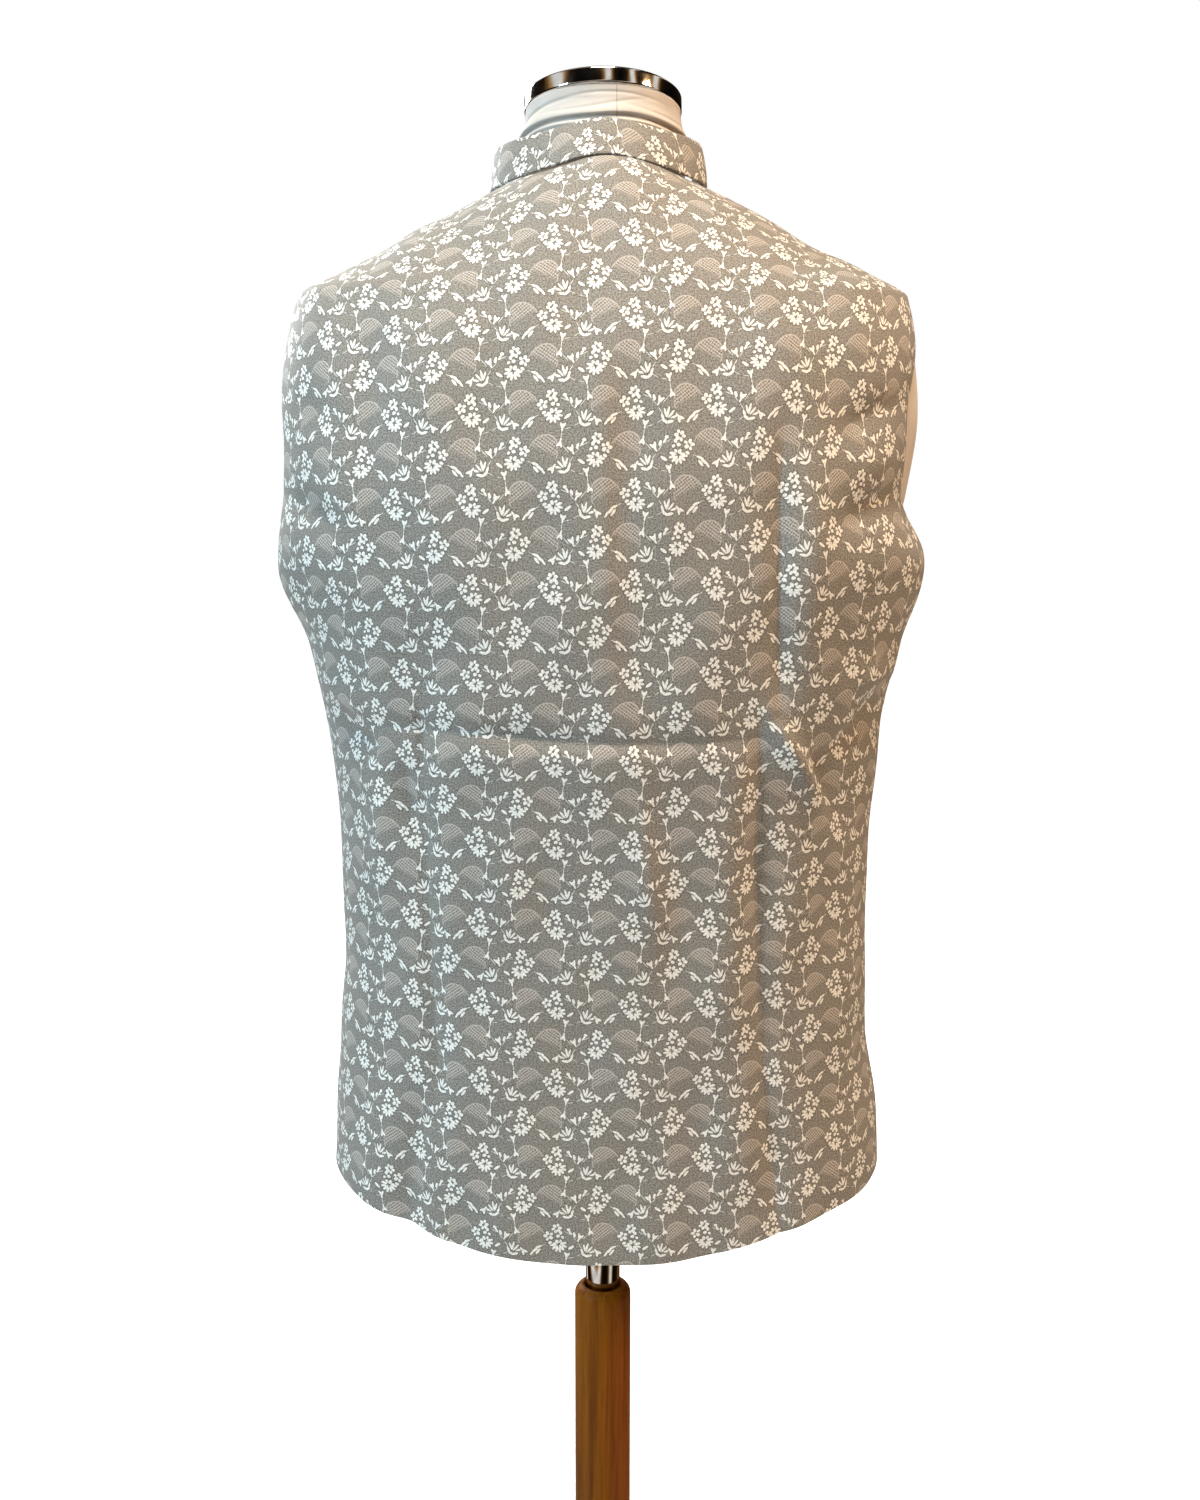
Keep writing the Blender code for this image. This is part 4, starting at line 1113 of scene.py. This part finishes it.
def addTube(name, path, radius, out, finish, sides=8, closed=False):
    # circles of a radius along a path, set up by its direction and a direction outward
    ahead = np.roll(path, -1, axis=0) - np.roll(path, 1, axis=0) if closed else np.gradient(path, axis=0)
    ahead /= np.linalg.norm(ahead, axis=1, keepdims=True)
    aside = np.cross(ahead, out)
    aside /= np.linalg.norm(aside, axis=1, keepdims=True)
    upward = np.cross(aside, ahead)
    turn = np.linspace(0, 2 * math.pi, sides, endpoint=False)[None, :, None]
    radius = np.broadcast_to(radius, len(path))[:, None, None]
    points = path[:, None] + radius * (np.cos(turn) * aside[:, None] + np.sin(turn) * upward[:, None])
    if closed:
        points = np.concatenate([points, points[:1]])
    faces = gridFaces(len(points), sides, closed=True)
    count = len(path) * sides
    faces = [faces % count] if closed else [faces, *tipFaces(sides, count)]
    points = np.concatenate([points.reshape(-1, 3)[:count], path[[0, -1]]][: 1 if closed else 2])
    return addPiece(name, points, faces, finish)


def clothPoint(x, height):
    # a point of the left front's outer face near the centre line
    angle = np.full_like(x, -halfTurn)
    for _ in range(6):
        angle = -halfTurn + np.arcsin(x / sectionRadius(jacketShape, angle, height))
    smooth = jacketPoint(angle, height)
    normal = outwardNormal(angle, height)
    return smooth - normal * creaseDepth(smooth)[:, None] + np.array([0, 0, hemFloor]), normal


def addStitching(number, height):
    # two crossed stitches that hold the button, and the purl round its buttonhole: a stadium-shaped line
    # whose thickness swells with each stitch
    look, button = stitchShape, buttonShape
    point, axes = buttonFrame(height)
    s = np.linspace(-1, 1, 11)
    reach = button["holeReach"] + look["thread"]
    level = button["clearance"] + button["dish"][-1][1] * button["thickness"]
    for word, turn in (("Rising", math.pi / 4), ("Falling", -math.pi / 4)):
        rise = level + look["threadRise"] * (1 - s**4) + (look["thread"] if word == "Rising" else 0)
        local = np.stack([reach * s * math.cos(turn), reach * s * math.sin(turn), rise], axis=-1)
        path, name = point + local @ axes.T, f"buttonThread{word}{number}"
        piece = addTube(name, path, look["thread"], axes[:, 2], finishes["thread"])

    half, start, end = look["holeHalf"], look["holeStart"], look["holeEnd"]
    straight = np.linspace(start, end, 64)
    bow = np.linspace(-halfTurn, halfTurn, 9)[1:-1]
    x = np.concatenate([straight, end + half * np.cos(bow), straight[::-1], start - half * np.cos(bow)])
    z = np.concatenate([np.full(64, -half), half * np.sin(bow), np.full(64, half), -half * np.sin(bow)])
    path, normal = clothPoint(x, height + z)
    along = np.cumsum(np.linalg.norm(np.diff(path, axis=0, prepend=path[:1]), axis=1))
    radius = look["purl"] * (1 + 0.2 * np.sin(2 * math.pi * along / look["stitch"]))
    path = path - normal * look["sunk"]
    out = normal.mean(axis=0)
    piece = addTube(f"buttonhole{number}", path, radius, out, finishes["thread"], 7, closed=True)


for number, height in enumerate(buttonShape["heights"], start=1):
    addButton(number, height)
    addStitching(number, height)
print("buttons and buttonholes made")


formLook = {
    "columns": 192,
    "seamGap": 0.0003,
    "finerFrom": (0.86, 0.945),  # shares of the height
    "bottomRounding": 0.012,
    "groove": 0.0188,  # below the cap
    # slope, distance below the cap, half width, depth
    "wrinkles": (
        (0.9, 0.0105, 0.0013, 0.0007),
        (-1.3, 0.0085, 0.0011, 0.0006),
        (0.4, 0.0060, 0.0010, 0.0005),
    ),
}


capShape = {
    "slant": 12.7,  # degrees, back edge up
    "centreY": -0.0040,
    "height": 0.742,
    "depth": 0.0110,
    "edge": 0.0018,
    "crown": 0.0018,
}


def addForm():
    # rings of formRadius from a flat bottom to a neck cut on the cap's slant, with the jersey's rolls at
    # the neck
    slant = math.radians(capShape["slant"])
    turn = np.linspace(-math.pi, math.pi, formLook["columns"], endpoint=False)
    top = np.full_like(turn, capShape["height"])
    for _ in range(6):
        behind = formRadius(turn, top) * np.sin(turn) - capShape["centreY"]
        top = capShape["height"] - formLook["seamGap"] / math.cos(slant) + math.tan(slant) * behind
    low, high = formLook["finerFrom"]
    share = [np.linspace(0, low, 110)[:-1], np.linspace(low, high, 36)[:-1], np.linspace(high, 1, 96)]
    share = np.concatenate(share)
    height = formShape["bottom"] + share[:, None] * (top - formShape["bottom"])
    angle = np.broadcast_to(turn, height.shape)
    radius = formRadius(angle, height)
    # spare jersey pushed up by the collar: a soft roll that hangs over a sharp groove
    below = top - height
    groove = below - formLook["groove"] - 0.0009 * np.sin(2 * angle + 0.4)
    groove = groove - 0.0005 * np.sin(5 * angle + 1) + 0.0010 * np.cos(angle)
    spread = np.where(groove < -0.0022, 0.0050, 0.0016)
    radius = radius + 0.0021 * np.exp(-(((groove + 0.0022) / spread) ** 2))
    radius = radius - 0.0020 * np.exp(-((groove / 0.0008) ** 2))
    radius = radius + 0.0012 * np.exp(-(((groove - 0.0030) / 0.0015) ** 2))
    # smaller wrinkles above it, each along its own slanting line
    for slope, place, reach, deep in formLook["wrinkles"]:
        line = below - place - 0.004 * slope * np.sin(angle * 2 + 3 * slope)
        radius = radius - deep * np.exp(-((line / reach) ** 2)) * (0.5 + 0.5 * np.sin(3 * angle + 7 * slope))
    rounding = formLook["bottomRounding"]
    lowRound = np.clip((height - formShape["bottom"]) / rounding, 0, 1)
    radius = radius - rounding * (1 - np.sqrt(1 - (1 - lowRound) ** 2))
    grid = np.stack([radius * np.cos(angle), radius * np.sin(angle), height + hemFloor], axis=-1)
    rows, columns = grid.shape[:2]
    faces = [gridFaces(rows, columns, closed=True), *tipFaces(columns, rows * columns)]
    tips = np.stack([grid[0].mean(axis=0), grid[-1].mean(axis=0)])
    piece = addPiece("formTorso", np.concatenate([grid.reshape(-1, 3), tips]), faces, finishes["jersey"])
    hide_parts("form_torso")


def addCap():
    # a low turned plug on the slanted neck, its rim rounded and its top slightly domed
    low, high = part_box("form_neck_cap")
    look = capShape
    slant = math.radians(look["slant"])
    r, e, d = (high.x - low.x) / 2, look["edge"], look["depth"]
    profile = [(0, 0), (r - e, 0)] + roundEdge((r - e, e), e, -80, 0, 8)
    profile += roundEdge((r - e, d - e), e, 0, 90, 10)
    profile += [(r * s, d + look["crown"] * (1 - s**2)) for s in np.linspace(0.92, 0.08, 14)]
    profile += [(0, d + look["crown"])]
    c, s = math.cos(slant), math.sin(slant)
    turned = ((1, 0, 0), (0, c, -s), (0, s, c))
    place = (0, look["centreY"], hemFloor + look["height"])
    piece = addLathe("neckCap", profile, finishes["chrome"], 160, turned, place)
    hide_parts("form_neck_cap")


standShape = {
    "bevel": 0.001,
    "poleRounding": 0.0075,
    "socket": 0.0140,
    "socketDepth": 0.034,
    "footBevel": 0.002,
    "footStep": 0.008,  # height of the foot's upright edge
    # each round of its moulding: in from the edge, height, radius, start and end in degrees, points
    "footMoulding": ((0.004, 0.011, 0.004, -10, 70, 8), (0.012, 0.0165, 0.0070, 0, 90, 12)),
}


def addStand():
    # rod, pole with its socket, and round foot, all turned
    look = standShape
    bevel = look["bevel"]
    low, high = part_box("stand_rod")
    r = high.x
    profile = [(0, low.z), (r - bevel, low.z), (r, low.z + bevel)]
    profile += [(r, high.z - bevel), (r - bevel, high.z), (0, high.z)]
    piece = addLathe("chromeRod", profile, finishes["chrome"], 96)
    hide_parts("stand_rod")

    low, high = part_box("stand_pole")
    r, top, rounding, socket = high.x, high.z, look["poleRounding"], look["socket"]
    bottom = top - look["socketDepth"]
    profile = [(0, low.z), (r - bevel, low.z), (r, low.z + bevel)]
    profile += roundEdge((r - rounding, top - rounding), rounding, 0, 84, 14)
    profile += [(socket + 0.0003, top - 0.0002), (socket, top - 0.0009), (socket, bottom), (0, bottom)]
    piece = addLathe("woodenPole", profile, finishes["poleWood"], 128)
    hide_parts("stand_pole")

    low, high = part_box("stand_base")
    r, top, bevel = high.x, high.z, look["footBevel"]
    profile = [(0, 0), (r - bevel, 0), (r, bevel), (r, look["footStep"])]
    for inward, level, radius, start, end, points in look["footMoulding"]:
        profile += roundEdge((r - inward, level), radius, start, end, points)
    profile += [(0.5 * r, top - 0.0002), (0.15 * r, top), (0, top)]
    piece = addLathe("woodenFoot", profile, finishes["footWood"], 192)
    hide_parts("stand_base")


addForm()
addCap()
addStand()
print("form and stand made")


studio = {
    "floorReach": 30.0,
    "lights": {
        # place, size, power in watts, colour
        "windowLight": ((2.1, 1.35, 1.85), 0.5, 66.0, "#BFE2FA"),
        "lampLight": ((-2.0, 0.8, 2.3), 0.4, 40.0, "#FFCB92"),
        "topLight": ((0.0, 0.7, 3.1), 0.7, 60.0, "#FFF5E8"),
        "frontLight": ((1.5, -2.2, 2.1), 1.0, 66.0, "#FFFFFF"),
    },
    "lightAim": (0, 0, 1.15),
    "cameraPlace": (0.002, 1.16, hemFloor + 0.541),
    "cameraPitch": 10.66,  # degrees downward
    # what mirrors see, from the dark of the room to its openings
    "room": ((0.0, "#0A0908"), (0.58, "#2A1C0E"), (0.78, "#7E5A2E"), (0.90, "#CDAA78"), (0.96, "#FFFFFF")),
    "lens": 40.8,
}


def addStudio():
    reach = studio["floorReach"]
    corners = np.array([(-reach, -reach, 0), (reach, -reach, 0), (reach, reach, 0), (-reach, reach, 0)])
    mesh = bpy.data.meshes.new("studioFloor")
    mesh.from_pydata(corners.tolist(), [], [(0, 1, 2, 3)])
    floor = bpy.data.objects.new("studioFloor", mesh)
    bpy.context.scene.collection.objects.link(floor)
    # Matt white paper, which glows far out so that it has no horizon.
    settings = {"Roughness": 0.9, "Base Color": "#F4F3F1", "Emission Color": "#FFFFFF"}
    made, tree, shader = newMaterial("studioPaper", settings)
    place = addNode(tree, "TexCoord")
    far = addNode(tree, "VectorMath", {"operation": "LENGTH"}, {0: (place, "Object")})
    glow = fade(tree, (far, "Value"), 0.4, 2.2, 0.25, 1.0)
    ray = addNode(tree, "LightPath")
    seen = maths(tree, "MULTIPLY", glow, (ray, "Is Camera Ray"))
    tree.links.new(seen.outputs[0], shader.inputs["Emission Strength"])
    mesh.materials.append(made)
    floor.visible_glossy = False

    for name, (place, size, power, colour) in studio["lights"].items():
        lamp = bpy.data.lights.new(name, "AREA")
        lamp.size = size
        lamp.energy = power
        lamp.color = linear(colour)[:3]
        holder = bpy.data.objects.new(name, lamp)
        holder.location = place
        aim = Vector(studio["lightAim"]) - Vector(place)
        holder.rotation_euler = aim.to_track_quat("-Z", "Y").to_euler()
        bpy.context.scene.collection.objects.link(holder)


def addWorld():
    # white to the eye, a dim even room for diffuse light, and a dark room with bright openings for
    # mirror reflections
    world = bpy.data.worlds.new("studioRoom")
    world.use_nodes = True
    tree = world.node_tree
    tree.nodes.clear()
    ray = addNode(tree, "LightPath")
    place = addNode(tree, "TexCoord")
    wave = {"Scale": 0.62, "Distortion": 5.0, "Detail": 1.0, "Phase Offset": 1.3}
    wave["Vector"] = (place, "Generated")
    bands = addNode(tree, "TexWave", {"bands_direction": "DIAGONAL"}, wave)
    room = addRamp(tree, (bands, "Fac"), studio["room"])
    even = addNode(tree, "Background", None, {"Color": "#F4F2EE", "Strength": 0.12})
    mirror = addNode(tree, "Background", None, {"Color": room, "Strength": 0.9})
    sight = addNode(tree, "Background", None, {"Color": "#FFFFFF", "Strength": 1.0})
    first = addNode(tree, "MixShader", None, {0: (ray, "Is Glossy Ray"), 1: even, 2: mirror})
    second = addNode(tree, "MixShader", None, {0: (ray, "Is Camera Ray"), 1: first, 2: sight})
    addNode(tree, "OutputWorld", None, {"Surface": second})
    bpy.context.scene.world = world


def addCamera():
    lens = bpy.data.cameras.new("studioCamera")
    lens.lens = studio["lens"]
    lens.sensor_width = 36.0
    holder = bpy.data.objects.new("studioCamera", lens)
    holder.location = studio["cameraPlace"]
    holder.rotation_euler = (math.radians(90 - studio["cameraPitch"]), 0, math.pi)
    bpy.context.scene.collection.objects.link(holder)
    bpy.context.scene.camera = holder


addStudio()
addWorld()
addCamera()
bpy.context.scene.view_settings.view_transform = "Standard"
print("studio made")
